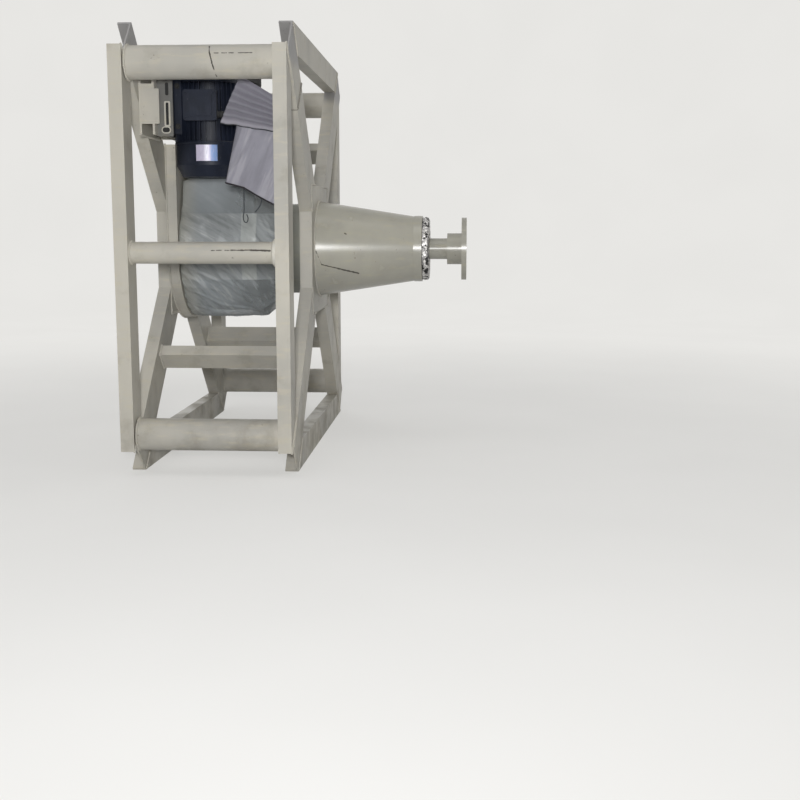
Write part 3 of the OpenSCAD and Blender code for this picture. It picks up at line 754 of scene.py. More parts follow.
class DRIVEHEAD_OT_paint(bpy.types.Operator):
    """Make the paints and put them on the parts that come from the CAD model"""

    bl_idname = "drivehead.paint"
    bl_label = "Paint"

    def execute(self, context):
        p = settings("drivehead_paint")
        cream, cone, peel = list(p.cream), list(p.cone_cream), p.peel
        tube_front = -SIDE_TUBE_Y - SIDE_TUBE_R
        marks = [
            (place(336, tube_front, 9.0), place(348, tube_front, 9.0), 0.0026),
            (place(354, tube_front, 9.5), place(372, tube_front, 10.0), 0.0026),
            (place(384, tube_front, 9.5), place(398, tube_front, 9.5), 0.003),
            (place(404, tube_front, 10.0), place(470, tube_front, 10.5), 0.0036),
            (place(470, tube_front, 10.5), place(540, tube_front, 8.0), 0.0042),
            (place(408, tube_front, -18), place(418, tube_front, -22), 0.006),
        ]
        hairline = [(343, 690), (346, 668), (352, 645), (358, 620), (364, 592)]

        def on_tube(x, rise):
            drop = max(0.1 - CORNER_TUBE_R, min(CORNER_TUBE_R - 0.1, rise))
            return place(x, -CORNER_TUBE_Y - math.sqrt(CORNER_TUBE_R ** 2 - drop ** 2), CORNER_TUBE_Z + rise)

        def on_cone(x, z):
            radius = CONE_BASE_R - (CONE_BASE_R - CONE_NOSE_R) * (x - CONE_ARMS_X) / CONE_RUN
            return place(x, -math.sqrt(radius ** 2 - z ** 2), z)

        hair = [on_tube(x, z - CORNER_TUBE_Z) for x, z in hairline]
        corner_marks = [(a, b, 0.0034) for a, b in zip(hair, hair[1:])]
        corner_marks += [(on_tube(start, 22), on_tube(stop, 22), 0.0022)
                         for start, stop in ((362, 376), (388, 404), (412, 428), (444, 490))]

        scratch = [on_cone(620, -7), on_cone(640, -59), on_cone(700, -74), on_cone(782, -94)]
        cone_marks = [(a, b, w) for (a, b), w in zip(zip(scratch, scratch[1:]), (0.0022, 0.0032, 0.0046))]
        cone_marks.append((on_cone(731, 63), on_cone(736, 60), 0.0042))
        paint("cream paint", cream, peel)
        paint("arm paint", cream, peel, tips=list(p.primer_and_shade))
        paint("tube paint", cream, peel, strokes=marks)
        paint("collar paint", screen(208, 205, 196), peel * 2, 0.9)
        paint("corner tube paint", cream, peel, strokes=corner_marks)
        paint("cone paint", cone, peel * 0.5, 0.25, cone_marks, gloss=0.24, shine=0.5)
        paint("shaft paint", cone, peel * 0.4, 0.4, gloss=0.26, shine=0.4)
        # Slide bar: grey paint darkened as painted shade
        paint("bar paint", screen(112, 111, 107), peel, 0.6)
        paint("gearbox paint", list(p.gearbox), peel, 0.3)
        motor_paint("motor navy", list(p.navy), peel)
        black_rubber("belt rubber", 0.012)
        black_rubber("seal rubber", 0.008)
        black_rubber("pulley black", 0.02)
        bare_steel("bare steel", screen(170, 166, 160))
        bare_steel("zinc", screen(176, 172, 158), 0.8, 0.36)
        # Near-black sheets: painted shade in the cowl's slots and the slide bar's slots and hole
        black_rubber("dark slot", 0.003)
        foil("foil")
        blank_plate("blank plate")
        finish_by_node = {
            "cream paint": ("drive_end_posts", "drive_end_beams", "drive_end_hub_plate",
                            "cone_end_posts", "cone_end_beams", "cone_end_hub_plate", "arm_rungs",
                            "gearbox_seat", "motor_bracket", "motor_rails"),
            "arm paint": ("drive_end_arms", "cone_end_arms"),
            "tube paint": ("side_tubes",),
            "collar paint": ("side_tube_collars",),
            "corner tube paint": ("corner_tubes",),
            "cone paint": ("bearing_cone", "nose_ring"),
            "shaft paint": ("output_shaft", "coupling_hub", "coupling_flange"),
            "gearbox paint": ("gearbox_case", "gearbox_neck"),
            "motor navy": ("motor_body", "motor_cowl", "motor_feet", "terminal_box"),
            "belt rubber": ("drive_belts",),
            "seal rubber": ("nose_seal",),
            "pulley black": ("input_pulley", "motor_pulley"),
            "bare steel": ("input_shaft", "motor_shaft"),
            "blank plate": ("rating_plate",),
        }
        for finish, nodes in finish_by_node.items():
            for node in nodes:
                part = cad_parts[node]
                if not part.material_slots:
                    part.data.materials.append(None)
                for holder in part.material_slots:
                    holder.material = FINISHES[finish]
        return {"FINISHED"}


class DRIVEHEAD_OT_welds(bpy.types.Operator):
    """Lay weld beads where the frame's members and tubes meet"""

    bl_idname = "drivehead.welds"
    bl_label = "Weld beads"

    def execute(self, context):
        s = settings("drivehead_fasteners")
        paths = []
        inner_face = DRIVE_ARMS_X + 1
        for side_y in (-1, 1):
            for side_z in (-1, 1):
                paths.append(ring_path(inner_face, side_y * CORNER_TUBE_Y, side_z * CORNER_TUBE_Z,
                                       CORNER_TUBE_R + 1))
            for tube_end in (49, 548):
                paths.append(ring_path(tube_end, side_y * SIDE_TUBE_Y, 0, SIDE_TUBE_R + 1))
        deep, wide = RUNG_DEPTH / 2 + 1, RUNG_WIDTH / 2 + 1
        for side_y, side_z in ((-1, -1), (1, -1), (1, 1)):
            y, z, turn = side_y * RUNG_REACH, side_z * RUNG_REACH, side_y * side_z
            corners = [(a * deep - turn * b * wide, turn * a * deep + b * wide)
                       for a, b in ((-1, -1), (1, -1), (1, 1), (-1, 1), (-1, -1))]
            paths.append([place(inner_face, y + a * math.sqrt(0.5), z + b * math.sqrt(0.5))
                          for a, b in corners])
        paths.append(ring_path(CONE_ARMS_X + 1, 0, 0, CONE_BASE_R + 1))
        plate = [(147, 250), (250, 250), (250, 147)]
        beam, post = [(676, 779), (582, 685)], [(700, 597), (799, 696)]
        for face in (DRIVE_ARMS_X, CONE_ARMS_X):
            for side_y in (-1, 1):
                for side_z in (-1, 1):
                    paths.append([place(face, side_y * y, side_z * z) for y, z in plate])
                    # The drive end has no upper beam
                    if face == CONE_ARMS_X or side_z < 0:
                        paths.append([place(face, side_y * y, side_z * (z - 1)) for y, z in beam])
                    paths.append([place(face - 5.5, side_y * y, side_z * z) for y, z in post])
        seat_y = SEAT_R + 1
        seat = ring_path(inner_face, 0, 0, seat_y, 180, 360, 90)
        paths.append([place(inner_face, -seat_y, SEAT_TOP), *seat, place(inner_face, seat_y, SEAT_TOP)])
        paths.append([place(inner_face, y, BRACKET_LOW - 1)
                      for y in (1 - BRACKET_FRONT, BRACKET_LEG - BRACKET_FRONT)])
        by_rule("weld_beads", path_mesh("weld paths", paths), weld_rule(), "cream_paint",
                Width=s.bead, Ripple=s.ripple, Seed=3, Finish=FINISHES["cream paint"])
        return {"FINISHED"}


class DRIVEHEAD_OT_bolts(bpy.types.Operator):
    """Put the bolts and screws on the gearbox, the hub plate and the motor"""

    bl_idname = "drivehead.bolts"
    bl_label = "Bolts and screws"

    def execute(self, context):
        s = settings("drivehead_fasteners")
        rule = bolt_rule()
        big, foot, small = s.bolt, s.foot_bolt, s.screw

        def ring(count, x, radius, aim, size, start=0.0):
            turns = [start + 2 * math.pi * i / count for i in range(count)]
            return [(place(x, radius * math.cos(a), radius * math.sin(a)), aim, size) for a in turns]

        def upright_ring(angles, y, radius, z, size):
            return [(place(MOTOR_X + radius * math.cos(a), y + radius * math.sin(a), z), (0, 0, 1), size)
                    for a in angles]

        gearbox = ring(12, 575, 199, (-1, 0, 0), big, 0.26)
        gearbox += ring(8, 40, 115, (-1, 0, 0), big, 0.39)
        gearbox += upright_ring([2 * math.pi * (i + 0.5) / 6 for i in range(6)], 0, 98, 624, foot)
        for y in (0, MOTOR_Y):
            gearbox += upright_ring((0.5, 2.6, 4.7), y, 38, 712, foot * 0.7)
        feet = [(place(128, MOTOR_Y + y, z), (1, 0, 0), foot) for y in (-112, 112) for z in (437, 611)]
        web_y = MOTOR_Y - 0.36 * MOTOR_D - 7
        feet += [(place(152, web_y, z), (0, -1, 0), foot * 0.8) for z in (452, 596)]
        feet += upright_ring([0.785 + math.pi / 2 * i for i in range(4)], MOTOR_Y, 112, 628, foot * 0.7)
        navy = []
        for a in (0.6 + math.pi / 2 * i for i in range(4)):
            out = (math.cos(a), math.sin(a), 0)
            navy.append((place(MOTOR_X + 127 * out[0], MOTOR_Y + 127 * out[1], 389), out, small))
        lid_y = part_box("terminal_box")[0].y * 1000 - 6
        navy += [(place(MOTOR_X + x, lid_y, TERMINAL_Z + z), (0, -1, 0), small)
                 for x in (-51, 51) for z in (-45, 45)]
        for name, spots, finish, slot in (
                ("gearbox_bolts", gearbox, "zinc", "bare_steel"),
                # Foot bolts in near-black rubber: painted shade of their dark bolt holes
                ("motor_foot_bolts", feet, "seal rubber", "bare_steel"),
                ("motor_screws", navy, "motor navy", "motor_navy")):
            by_rule(name, point_mesh(name, spots), rule, slot, Seed=5, Finish=FINISHES[finish])
        return {"FINISHED"}


class DRIVEHEAD_OT_motor(bpy.types.Operator):
    """Add the motor's small parts: lid, gland, cowl rim, cowl slots, slide bar"""

    bl_idname = "drivehead.motor"
    bl_label = "Motor fittings"

    def rounded_plate(self, name, middle, width, height, depth, corner, bevel=0.0015):
        """A plate in the X, Z plane with rounded corners"""
        shape = bmesh.new()
        back = [shape.verts.new(Vector(middle) + Vector((x, 0, z)))
                for x, z in rounded(width / 2, height / 2, corner, 6)]
        base = shape.faces.new(back)
        raised = bmesh.ops.extrude_face_region(shape, geom=[base])
        moved = [v for v in raised["geom"] if isinstance(v, bmesh.types.BMVert)]
        bmesh.ops.translate(shape, verts=moved, vec=(0, -depth, 0))
        rim = [e for e in shape.edges if all(v in moved for v in e.verts)]
        bmesh.ops.bevel(shape, geom=rim, offset=bevel, segments=2, affect="EDGES")
        return link(name, outward(shape, bpy.data.meshes.new(name)))

    def turned_piece(self, name, profile, turns, spin, finish):
        """A small round part of the motor"""
        done(link(name, mesh_of(name, *lathe(profile, turns, spin))), finish)

    def execute(self, context):
        low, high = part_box("terminal_box")
        middle = Vector(((low.x + high.x) / 2, low.y, (low.z + high.z) / 2))
        across, tall = high.x - low.x, high.z - low.z
        for name, out, spare, thick, corner in (("terminal_lid", 0, 0.006, 0.006, 0.01),
                                                ("terminal_lid_panel", 0.006, -0.026, 0.0035, 0.006)):
            lid = self.rounded_plate(name, middle - Vector((0, out, 0)), across + spare, tall + spare,
                                     thick, corner)
            done(lid, "motor navy")

        top = place(0, 0, 400).z
        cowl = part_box("motor_cowl")
        radius = (cowl[1].x - cowl[0].x) / 2
        axis = Vector(((cowl[0].x + cowl[1].x) / 2, (cowl[0].y + cowl[1].y) / 2, 0))

        def upright(along, out, turn):
            return axis + Vector((out * math.cos(turn), out * math.sin(turn), along))

        rim = [(top - 0.010, radius - 0.001), (top - 0.010, radius + 0.0022), (top - 0.008, radius + 0.0034),
               (top - 0.003, radius + 0.0034), (top - 0.001, radius + 0.0022), (top - 0.001, radius - 0.001)]
        self.turned_piece("cowl_rim", rim, 96, upright, "motor navy")
        foot = cowl[0].z
        inner = radius - 0.024
        lip = [(foot - 0.0012, inner - 0.016), (foot - 0.0012, inner - 0.001),
               (foot + 0.0015, inner + 0.0025), (foot + 0.003, inner + 0.0018),
               (foot + 0.001, inner - 0.004), (foot + 0.001, inner - 0.016)]
        self.turned_piece("cowl_lip", lip, 96, upright, "motor navy")
        spots = []
        slot_count, slot_middle = 24, 0.0615
        for i in range(slot_count):
            a = 2 * math.pi * i / slot_count
            at = axis + Vector((slot_middle * math.cos(a), slot_middle * math.sin(a), foot + 0.0042))
            spots.append((at, (math.cos(a), math.sin(a), 0), 1.0))
        # Cowl slots: dark pills as painted shade, with no openings cut
        by_rule("cowl_slots", point_mesh("cowl slots", spots), slot_rule(), "motor_navy",
                Length=0.056, Width=0.0042, Finish=FINISHES["dark slot"])

        side = place(0, 0, 490).z
        hub = Vector((high.x, (low.y + high.y) / 2, side))

        def sideways(along, out, turn):
            return hub + Vector((along, out * math.cos(turn), out * math.sin(turn)))

        gland = [(-0.002, 0.002), (-0.002, 0.013), (0.004, 0.013), (0.005, 0.011), (0.012, 0.011),
                 (0.013, 0.0125), (0.022, 0.0118), (0.026, 0.009), (0.027, 0.005), (0.024, 0.002)]
        self.turned_piece("cable_gland", gland, 24, sideways, "seal rubber")

        plates = (
            ("bracket_face", "cream paint", (91, -620, 509), 72, 121, 5, 3),
            ("slide_bar", "bar paint", (137.5, -580, 505), 57, 194, 6, 3),
            ("slide_bar_lip", "cream paint", (146, -586, 486), 22, 88, 1.2, 5),
            # The slots and the hole are thin near-black plates: painted shade
            ("slide_bar_slot", "dark slot", (146, -587.2, 486), 10, 78, 0.5, 4),
            ("slide_bar_upper_slot", "dark slot", (146, -586, 572), 12, 44, 0.5, 5),
            ("slide_bar_collar", "cream paint", (141, -586, 430), 34, 25, 3, 12),
            ("slide_bar_hole", "dark slot", (141, -589, 430), 26, 17, 0.5, 8),
        )
        for name, finish, at, wide, tall, thick, corner in plates:
            plate = self.rounded_plate(name, place(*at), wide / 1000, tall / 1000, thick / 1000,
                                       corner / 1000, min(0.0012, thick / 2500))
            done(plate, finish)
        return {"FINISHED"}


class DRIVEHEAD_OT_film(bpy.types.Operator):
    """Wrap the gearbox in crumpled milky film"""

    bl_idname = "drivehead.film"
    bl_label = "Packing film"

    def form(self, space):
        """The film's plain form: turned round the case, boxed round the neck"""
        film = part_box("gearbox_film")
        ring = (film[1].y - film[0].y) / 2 - 0.008 + space
        taper_end = 0.188 + space
        turn_start = film[1].x - 0.095
        profile = [(film[0].x, 0.02), (film[0].x, ring), (turn_start, ring), (film[1].x, taper_end),
                   (film[1].x, 0.02)]

        def round_shaft(along, out, turn):
            return Vector((along, out * math.cos(turn), SHAFT_Z + out * math.sin(turn)))

        points, faces = lathe(profile, 120, round_shaft)
        half_x = 0.1355 + space
        half_y = 0.19 + space
        middle = place(259.5, 0, 0).x
        top = place(0, 0, 500).z + space
        corner = 0.04 + space
        outline = rounded(half_x, half_y, corner, 8, middle)
        count, slopes = len(outline), len(points)
        slope_top = 0.27
        ends = film[0].x + 0.004, middle + half_x - 0.3 * corner
        reach = math.hypot(half_y, slope_top)
        lean = math.atan2(slope_top, half_y) - math.acos(ring / reach)
        for end in ends:
            for side in (-1, 1):
                points += [Vector((end, side * half_y, SHAFT_Z + slope_top)),
                           Vector((end, side * ring * math.cos(lean), SHAFT_Z + ring * math.sin(lean)))]
        faces += [tuple(slopes + i for i in face) for face in (
            (0, 1, 3, 2), (0, 4, 5, 1), (4, 6, 7, 5), (2, 3, 7, 6), (0, 2, 6, 4), (1, 5, 7, 3))]
        start = len(points)
        points += [Vector((x, y, SHAFT_Z)) for x, y in outline]
        points += [Vector((x, y, top)) for x, y in outline]
        faces.append(tuple(start + i for i in range(count)))
        faces.append(tuple(start + count + i for i in reversed(range(count))))
        for i in range(count):
            j = (i + 1) % count
            faces.append((start + i, start + count + i, start + count + j, start + j))
        return points, faces

    def execute(self, context):
        s = settings("drivehead_film")
        milky_film("milky film", list(s.colour))
        points, faces = self.form(s.clearance)
        skin = link("gearbox_wrap", mesh_of("gearbox_wrap", points, faces))
        melt = skin.modifiers.new("One skin", "REMESH")
        melt.mode = "VOXEL"
        melt.voxel_size = s.voxel
        melt.use_smooth_shade = True
        baked(skin)
        shape = bmesh.new()
        shape.from_mesh(skin.data)
        for _ in range(5):
            bmesh.ops.smooth_vert(shape, verts=shape.verts, factor=0.5, use_axis_x=True,
                                  use_axis_y=True, use_axis_z=True)
        shape.normal_update()
        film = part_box("gearbox_film")
        turret = place(MOTOR_X, 0, 0)
        low_x = film[0].x + 0.002
        for vert in shape.verts:
            vert.co += vert.normal * self.fold(vert.co, s.folds)
        self.keep_off(shape, ("gearbox_case", "gearbox_neck"), 0.002)
        for vert in shape.verts:
            vert.co.x = max(vert.co.x, low_x - 0.001)

        def gone(face):
            at = face.calc_center_median()
            drive_side = face.normal.x < -0.8 and at.x < low_x + 0.012
            spigot_side = face.normal.x > 0.8 and at.x > film[1].x - 0.012
            round_turret = at.z > SHAFT_Z + 0.48 and (at - turret).xy.length < 0.121
            return drive_side or spigot_side or round_turret

        bmesh.ops.delete(shape, geom=[f for f in shape.faces if gone(f)], context="FACES")
        shape.to_mesh(skin.data)
        shape.free()
        smooth(thicken(skin, s.thickness).data)
        done(skin, "milky film")
        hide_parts("gearbox_film")
        return {"FINISHED"}

    def fold(self, at, depth):
        """How far a point of the film moves out of its plain form"""
        x, y, z = at.x - DRIVE_X, at.y, at.z - SHAFT_Z
        round_r, neck_foot, shoulder, top, least = 0.27, 0.15, 0.13, 0.42, 0.16
        run = z if z > neck_foot else math.atan2(z, abs(y)) * round_r
        side = 1 if y < 0 else -1
        tilt = math.radians(62 if z > 0.0 else 38)
        along = x * math.cos(tilt) - run * math.sin(tilt)
        across = x * math.sin(tilt) + run * math.cos(tilt)
        wander = noise.noise((x * 5, run * 5, side * 3))
        ridge = 1 - abs(noise.noise((across * 26 + wander * 1.2, along * 5, side * 7.0))) * 2.2
        fine = 1 - abs(noise.noise((across * 60 + wander * 2, along * 11, side * 3.0 + 9))) * 2.0
        loose = noise.noise((x * 9, y * 9, z * 9))
        calm = 1.0
        if z > top:
            calm = min(1.0, least + (z - top) / 0.06)
        elif z > shoulder:
            calm = max(least, 1 - (z - shoulder) / 0.05)
        gather = max(0.0, 1 - abs(x - 0.12) / 0.03) * 0.4
        out = (max(0, ridge) ** 2 * 0.75 + max(0, fine) ** 2 * 0.3) * calm + loose * 0.35 + gather
        return (out - 0.35) * depth

    def keep_off(self, shape, nodes, gap):
        """Pushes points of the film off the solids that it covers"""
        for node in nodes:
            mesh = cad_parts[node].data
            solid = BVHTree.FromPolygons([v.co for v in mesh.vertices],
                                         [p.vertices for p in mesh.polygons])
            for vert in shape.verts:
                hit, normal, _, far = solid.find_nearest(vert.co, 0.06)
                if hit is None:
                    continue
                inside = (vert.co - hit).dot(normal) < 0
                if inside or far < gap:
                    vert.co = hit + normal * gap


class DRIVEHEAD_OT_sack(bpy.types.Operator):
    """Hang the woven sack beside the motor, with its folded end, hem and strings"""

    bl_idname = "drivehead.sack"
    bl_label = "Woven sack"

    TOP = [(0, 407, 604), (0.5, 492, 566), (1, 561, 522)]
    FOOT = [(0, 343, 246), (0.3, 411, 228), (0.55, 465, 196), (0.8, 515, 170), (1, 561, 152)]
    LEFT = [(0, 407, 604), (0.3, 394, 505), (0.45, 387, 447), (1, 343, 246)]
    FRONT = -552

    def between(self, table, share):
        """A point of a table of (share, x, z) rows"""
        shares = [row[0] for row in table]
        return (float(np.interp(share, shares, [row[1] for row in table])),
                float(np.interp(share, shares, [row[2] for row in table])))

    def body_point(self, u, v, face, s):
        """A point of the sack: u across, v down, face -1 in front and 1 behind"""
        top_x, top_z = self.between(self.TOP, u)
        foot_x, foot_z = self.between(self.FOOT, u)
        left_x, _ = self.between(self.LEFT, v)
        first, last = self.LEFT[0][1], self.LEFT[-1][1]
        plain_x = first + (last - first) * v
        x = top_x + (foot_x - top_x) * v + (left_x - plain_x) * (1 - u)
        z = top_z + (foot_z - top_z) * v
        rim = math.sqrt(max(0.0, 1 - (2 * u - 1) ** 4))
        full = 0.25 + 0.75 * math.sin(math.pi * min(1, v * 0.85 + 0.12))
        swell = s.swell * 1000 * rim * full
        slant = math.radians(62)
        across = (x * math.sin(slant) - z * math.cos(slant)) / 1000
        along = (z * math.sin(slant) + x * math.cos(slant)) / 1000
        ridge = 1 - abs(noise.noise((across * 24 + 4, along * 4, face * 5.0))) * 2.0
        broad = noise.noise((x / 75, z / 110, face * 9.0))
        crease = (max(0, ridge) ** 2 - 0.4) * s.folds * 1000 * (0.4 + 0.8 * v)
        depth = swell + (crease + broad * 5) * rim
        if face < 0:
            depth = min(depth, 11 + 42 * v)
        return place(x, self.FRONT + face * depth, z)

    def grid_mesh(self, name, rows, columns, point, close=False, measure=(1, 1)):
        """A grid of faces with the cloth's own measure as its UV map"""
        points = [point(c / columns, r / rows) for r in range(rows + 1) for c in range(columns + 1)]
        wide = columns + 1
        faces = [(r * wide + c, r * wide + c + 1, (r + 1) * wide + c + 1, (r + 1) * wide + c)
                 for r in range(rows) for c in range(columns)]
        mesh = bpy.data.meshes.new(name)
        mesh.from_pydata(points, [], faces)
        uv = mesh.uv_layers.new(name="cloth")
        for polygon in smooth(mesh).polygons:
            for corner, vertex in zip(polygon.loop_indices, polygon.vertices):
                uv.data[corner].uv = (vertex % wide / columns * measure[0],
                                      vertex // wide / rows * measure[1])
        if close:
            shape = bmesh.new()
            shape.from_mesh(mesh)
            bmesh.ops.remove_doubles(shape, verts=shape.verts, dist=1e-5)
            outward(shape, mesh)
        return mesh

    def execute(self, context):
        s = settings("drivehead_sack")
        cloth = list(s.colour)
        woven_cloth("sack cloth", cloth)
        woven_cloth("pleated cloth", dim(cloth, 0.72), pleated=s.pleats / 0.19)
        cord_fibre("hem cord", screen(44, 40, 46))
        cord_fibre("tie string", screen(62, 66, 70))
        cord_fibre("twine", screen(168, 164, 154))

        def cord(name, path, diameter, finish, closed=False):
            return done(rod(name, path, diameter, closed), finish)

        def around(u, v):
            turn = u * 2
            return self.body_point(turn, v, -1, s) if turn <= 1 else self.body_point(2 - turn, v, 1, s)

        body = link("sack_body", self.grid_mesh("sack_body", 84, 128, around, close=True,
                                                measure=(0.42, 0.4)))
        thicken(body, 0.0014)
        done(body, "sack cloth")
        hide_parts("hanging_sack")

        left, right = (336, 454), (561, 418)
        apex, shoulder = (407, 619), (561, 527)

        def folded(u, v):
            low = Vector(left).lerp(Vector(right), u)
            high = Vector(apex).lerp(Vector(shoulder), u)
            at = high.lerp(low, v)
            plain, frontmost = -588, -614
            bow = 6 * math.sin(math.pi * v)
            wave = (v * s.pleats) % 1.0
            pleat = 6.5 * (wave if wave < 0.8 else (1 - wave) * 4)
            wobble = noise.noise((at.x / 60, at.y / 60, 3)) * 7
            drop = noise.noise((at.x / 34, 2, 5)) * 4 * v
            y = plain - bow - pleat * (0.35 + 0.65 * min(1, v * 2.2)) - wobble + 16 * (1 - v)
            return place(at.x, max(y, frontmost), at.y + drop)

        flap = link("sack_flap", self.grid_mesh("sack_flap", 98, 60, folded, measure=(0.2, 0.19)))
        thicken(flap, 0.0016)
        done(flap, "pleated cloth")

        def rim_of(face):
            return [self.body_point(u / 40, 1, face, s) for u in range(41)]

        front_edge, back_edge = rim_of(-1), rim_of(1)
        hem = cord("sack_hem", front_edge + back_edge[::-1][1:-1], s.hem, "hem cord", closed=True)
        flap_edge = [folded(u / 40, 1) + Vector((0, -0.001, -0.001)) for u in range(41)]
        seam = cord("sack_flap_seam", flap_edge, 0.0034, "tie string")

        for name, at, drops in (
                ("sack_string", 12, (
                    (0, 0, 0), (0.001, -0.003, -0.02), (0.0, -0.002, -0.055), (-0.001, 0.0, -0.085),
                    (-0.004, -0.002, -0.104), (0.001, -0.006, -0.121), (0.010, -0.004, -0.122),
                    (0.013, 0.0, -0.108), (0.008, 0.002, -0.095))),
                ("sack_short_string", 24, (
                    (0, 0, 0), (-0.001, -0.004, -0.012), (-0.007, -0.006, -0.028),
                    (-0.018, -0.004, -0.042), (-0.026, 0.0, -0.049)))):
            path = flowing([front_edge[at] + Vector(drop) for drop in drops], 7)
            cord(name, path, s.string, "tie string")

        arm_y, arm_z = -548, 548
        axis = Vector((0, -math.sqrt(0.5), math.sqrt(0.5)))
        wide = Vector((0, math.sqrt(0.5), math.sqrt(0.5)))
        centre = place(589, arm_y, arm_z)
        loop = [centre + Vector((x, 0, 0)) + wide * w for x, w in (
            (-0.0265, -0.0745), (0.0265, -0.0745), (0.0265, 0.0745), (-0.0265, 0.0745))]
        ring = []
        for i, corner in enumerate(loop):
            before, after = loop[i - 1], loop[(i + 1) % 4]
            ring += [corner + (before - corner).normalized() * 0.004,
                     corner + (after - corner).normalized() * 0.004]
        tie = cord("sack_tie", ring, 0.0045, "twine", closed=True)
        knot_at = (loop[3] + loop[0]) / 2 + Vector((-0.004, 0, 0)) - wide * 0.012
        turns = []
        for i in range(49):
            a = 2 * math.pi * i / 24
            spread = 0.006 + 0.002 * math.sin(a * 1.5)
            turns.append(knot_at + Vector((0.004 * math.sin(a * 1.5), 0, 0))
                         + axis * spread * math.cos(a) + wide * spread * math.sin(a))
        knot = cord("sack_knot", turns, 0.0045, "twine")

        return {"FINISHED"}


class DRIVEHEAD_OT_foil(bpy.types.Operator):
    """Crumple torn foil over the seal at the cone's nose"""

    bl_idname = "drivehead.foil"
    bl_label = "Seal foil"

    def execute(self, context):
        low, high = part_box("nose_seal")
        outer = (high.z - low.z) / 2
        shaft = 0.0455
        line = [(low.x + 0.0012, outer + 0.0016), (low.x + 0.008, outer + 0.0026),
                (low.x + 0.016, outer + 0.0028), (high.x - 0.002, outer + 0.001),
                (high.x + 0.0022, outer - 0.006)]
        line += [(high.x + 0.0024, outer - 0.006 - (outer - 0.006 - shaft) * i / 9) for i in range(1, 10)]
        fine = []
        for (x0, r0), (x1, r1) in zip(line, line[1:]):
            fine += [(x0 + (x1 - x0) * t / 4, r0 + (r1 - r0) * t / 4) for t in range(4)]
        fine.append(line[-1])
        turns = 220
        points = []
        for t in range(turns):
            a = 2 * math.pi * t / turns
            for x, r in fine:
                at = Vector((x, r * math.cos(a), SHAFT_Z + r * math.sin(a)))
                crumple = noise.ridged_multi_fractal(at * 55, 1.0, 2.1, 3, 0.9, 2.0)
                lift = min(0.0032, max(0.0, (crumple - 0.7) * 0.0022))
                out = Vector((0, math.cos(a), math.sin(a)))
                ahead = Vector((1, 0, 0)) if x > high.x else out
                points.append(at + ahead * lift)
        faces = turned_faces(turns, len(fine), False)
        wrap = link("seal_foil", mesh_of("seal_foil", points, faces))
        thicken(wrap, 0.0004)
        done(wrap, "foil")
        return {"FINISHED"}


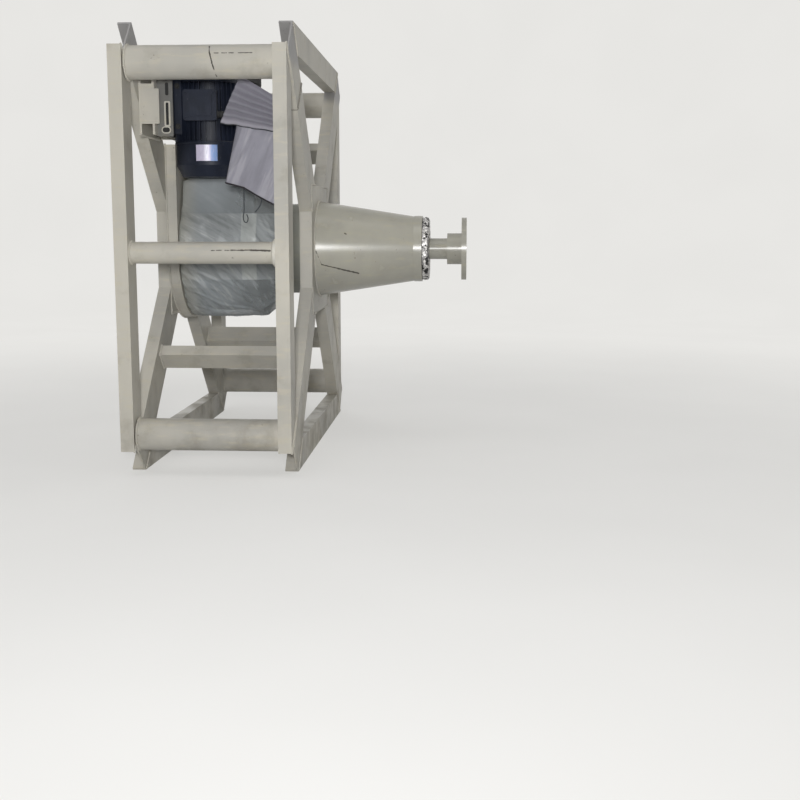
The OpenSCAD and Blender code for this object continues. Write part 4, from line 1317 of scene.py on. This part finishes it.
class DRIVEHEAD_OT_stage(bpy.types.Operator):
    """Set the camera where the photographer stood, the lamps and a plain floor"""

    bl_idname = "drivehead.stage"
    bl_label = "Stage"

    def lamp(self, name, at, aim, size, power):
        """A soft square lamp that looks at a point"""
        data = bpy.data.lights.new(name, "AREA")
        data.size = size
        data.energy = power
        made = bpy.data.objects.new(name, data)
        made.location = at
        made.rotation_euler = (Vector(aim) - Vector(at)).to_track_quat("-Z", "Y").to_euler()
        bpy.context.scene.collection.objects.link(made)

    def execute(self, context):
        s = settings("drivehead_stage")
        scene = context.scene
        camera = bpy.data.objects.new("camera", bpy.data.cameras.new("camera"))
        camera.data.sensor_width = 36
        camera.data.lens = s.lens
        camera.location = (0.6139, -4.7774, 0.8803)
        pitch, heading = -0.149, 0.0584
        camera.rotation_euler = (math.pi / 2 + pitch, 0, heading)
        scene.collection.objects.link(camera)
        scene.camera = camera
        scene.view_settings.view_transform = "Standard"

        flat, bend, height, turns = 6.5, 2.5, 6.0, 96
        profile = [(flat * i / 8, 0.0) for i in range(1, 9)]
        profile += [(flat + bend * math.sin(a), bend - bend * math.cos(a))
                    for a in (math.pi / 2 * i / 14 for i in range(1, 15))]
        profile.append((flat + bend, height))
        count = len(profile)
        points = [(r * math.cos(a), r * math.sin(a), z)
                  for a in (2 * math.pi * t / turns for t in range(turns)) for r, z in profile]
        faces = [(len(points), t * count, (t + 1) % turns * count) for t in range(turns)]
        mesh = bpy.data.meshes.new("floor")
        mesh.from_pydata([*points, (0, 0, 0)], [], faces + turned_faces(turns, count, False))
        floor = link("floor", smooth(mesh))
        stage_floor("stage floor", list(s.floor))
        floor.data.materials.append(FINISHES["stage floor"])

        middle = (0, 0, SHAFT_Z)
        self.lamp("front lamp", (0.5, -4.9, 1.15), middle, 0.4, s.front_power)
        self.lamp("top lamp", (-0.9, -1.2, 4.6), middle, 3.0, s.top_power)
        self.lamp("back lamp", (-1.5, 4.8, 2.6), middle, 2.4, s.top_power)
        self.lamp("side lamp", (4.4, 1.4, 2.2), middle, 2.4, s.side_power)
        world = bpy.data.worlds.new("room")
        world.use_nodes = True
        nodes = NodeMaker(world.node_tree)
        world.node_tree.nodes.clear()
        light = nodes.add("ShaderNodeBackground", {"Color": (1, 1, 1, 1), "Strength": s.sky})
        shown = nodes.add("ShaderNodeBackground", {"Color": (*s.floor, 1), "Strength": 1.0})
        sky = nodes.add("ShaderNodeMixShader", {0: nodes.seen(), 1: light, 2: shown})
        nodes.add("ShaderNodeOutputWorld", {"Surface": sky})
        scene.world = world
        return {"FINISHED"}


class DRIVEHEAD_PT_panel(bpy.types.Panel):
    """Buttons for the drive head's looks"""

    bl_idname = "DRIVEHEAD_PT_panel"
    bl_label = "Drive head"
    bl_space_type = "VIEW_3D"
    bl_region_type = "UI"
    bl_category = "Drive head"

    def draw(self, context):
        for operator in OPERATORS:
            self.layout.operator(operator.bl_idname)
        for name, group in GROUPS.items():
            box = self.layout.box()
            for setting in group.__annotations__:
                box.prop(getattr(context.scene, name), setting)


GROUPS = {
    "drivehead_paint": DRIVEHEAD_PG_paint,
    "drivehead_fasteners": DRIVEHEAD_PG_fasteners,
    "drivehead_film": DRIVEHEAD_PG_film,
    "drivehead_sack": DRIVEHEAD_PG_sack,
    "drivehead_stage": DRIVEHEAD_PG_stage,
}
OPERATORS = (
    DRIVEHEAD_OT_stage,
    DRIVEHEAD_OT_paint,
    DRIVEHEAD_OT_welds,
    DRIVEHEAD_OT_bolts,
    DRIVEHEAD_OT_motor,
    DRIVEHEAD_OT_film,
    DRIVEHEAD_OT_sack,
    DRIVEHEAD_OT_foil,
)


def register():
    """Adds the settings, the operators and the panel"""
    for name, group in GROUPS.items():
        bpy.utils.register_class(group)
        setattr(bpy.types.Scene, name, bpy.props.PointerProperty(type=group))
    for item in (*OPERATORS, DRIVEHEAD_PT_panel):
        bpy.utils.register_class(item)


def unregister():
    """Removes the panel, the operators and the settings"""
    for item in (DRIVEHEAD_PT_panel, *reversed(OPERATORS)):
        bpy.utils.unregister_class(item)
    for name, group in GROUPS.items():
        delattr(bpy.types.Scene, name)
        bpy.utils.unregister_class(group)


def main():
    """Builds every piece in order"""
    register()
    for operator in OPERATORS:
        family, name = operator.bl_idname.split(".")
        getattr(getattr(bpy.ops, family), name)()


if __name__ == "__main__":
    main()
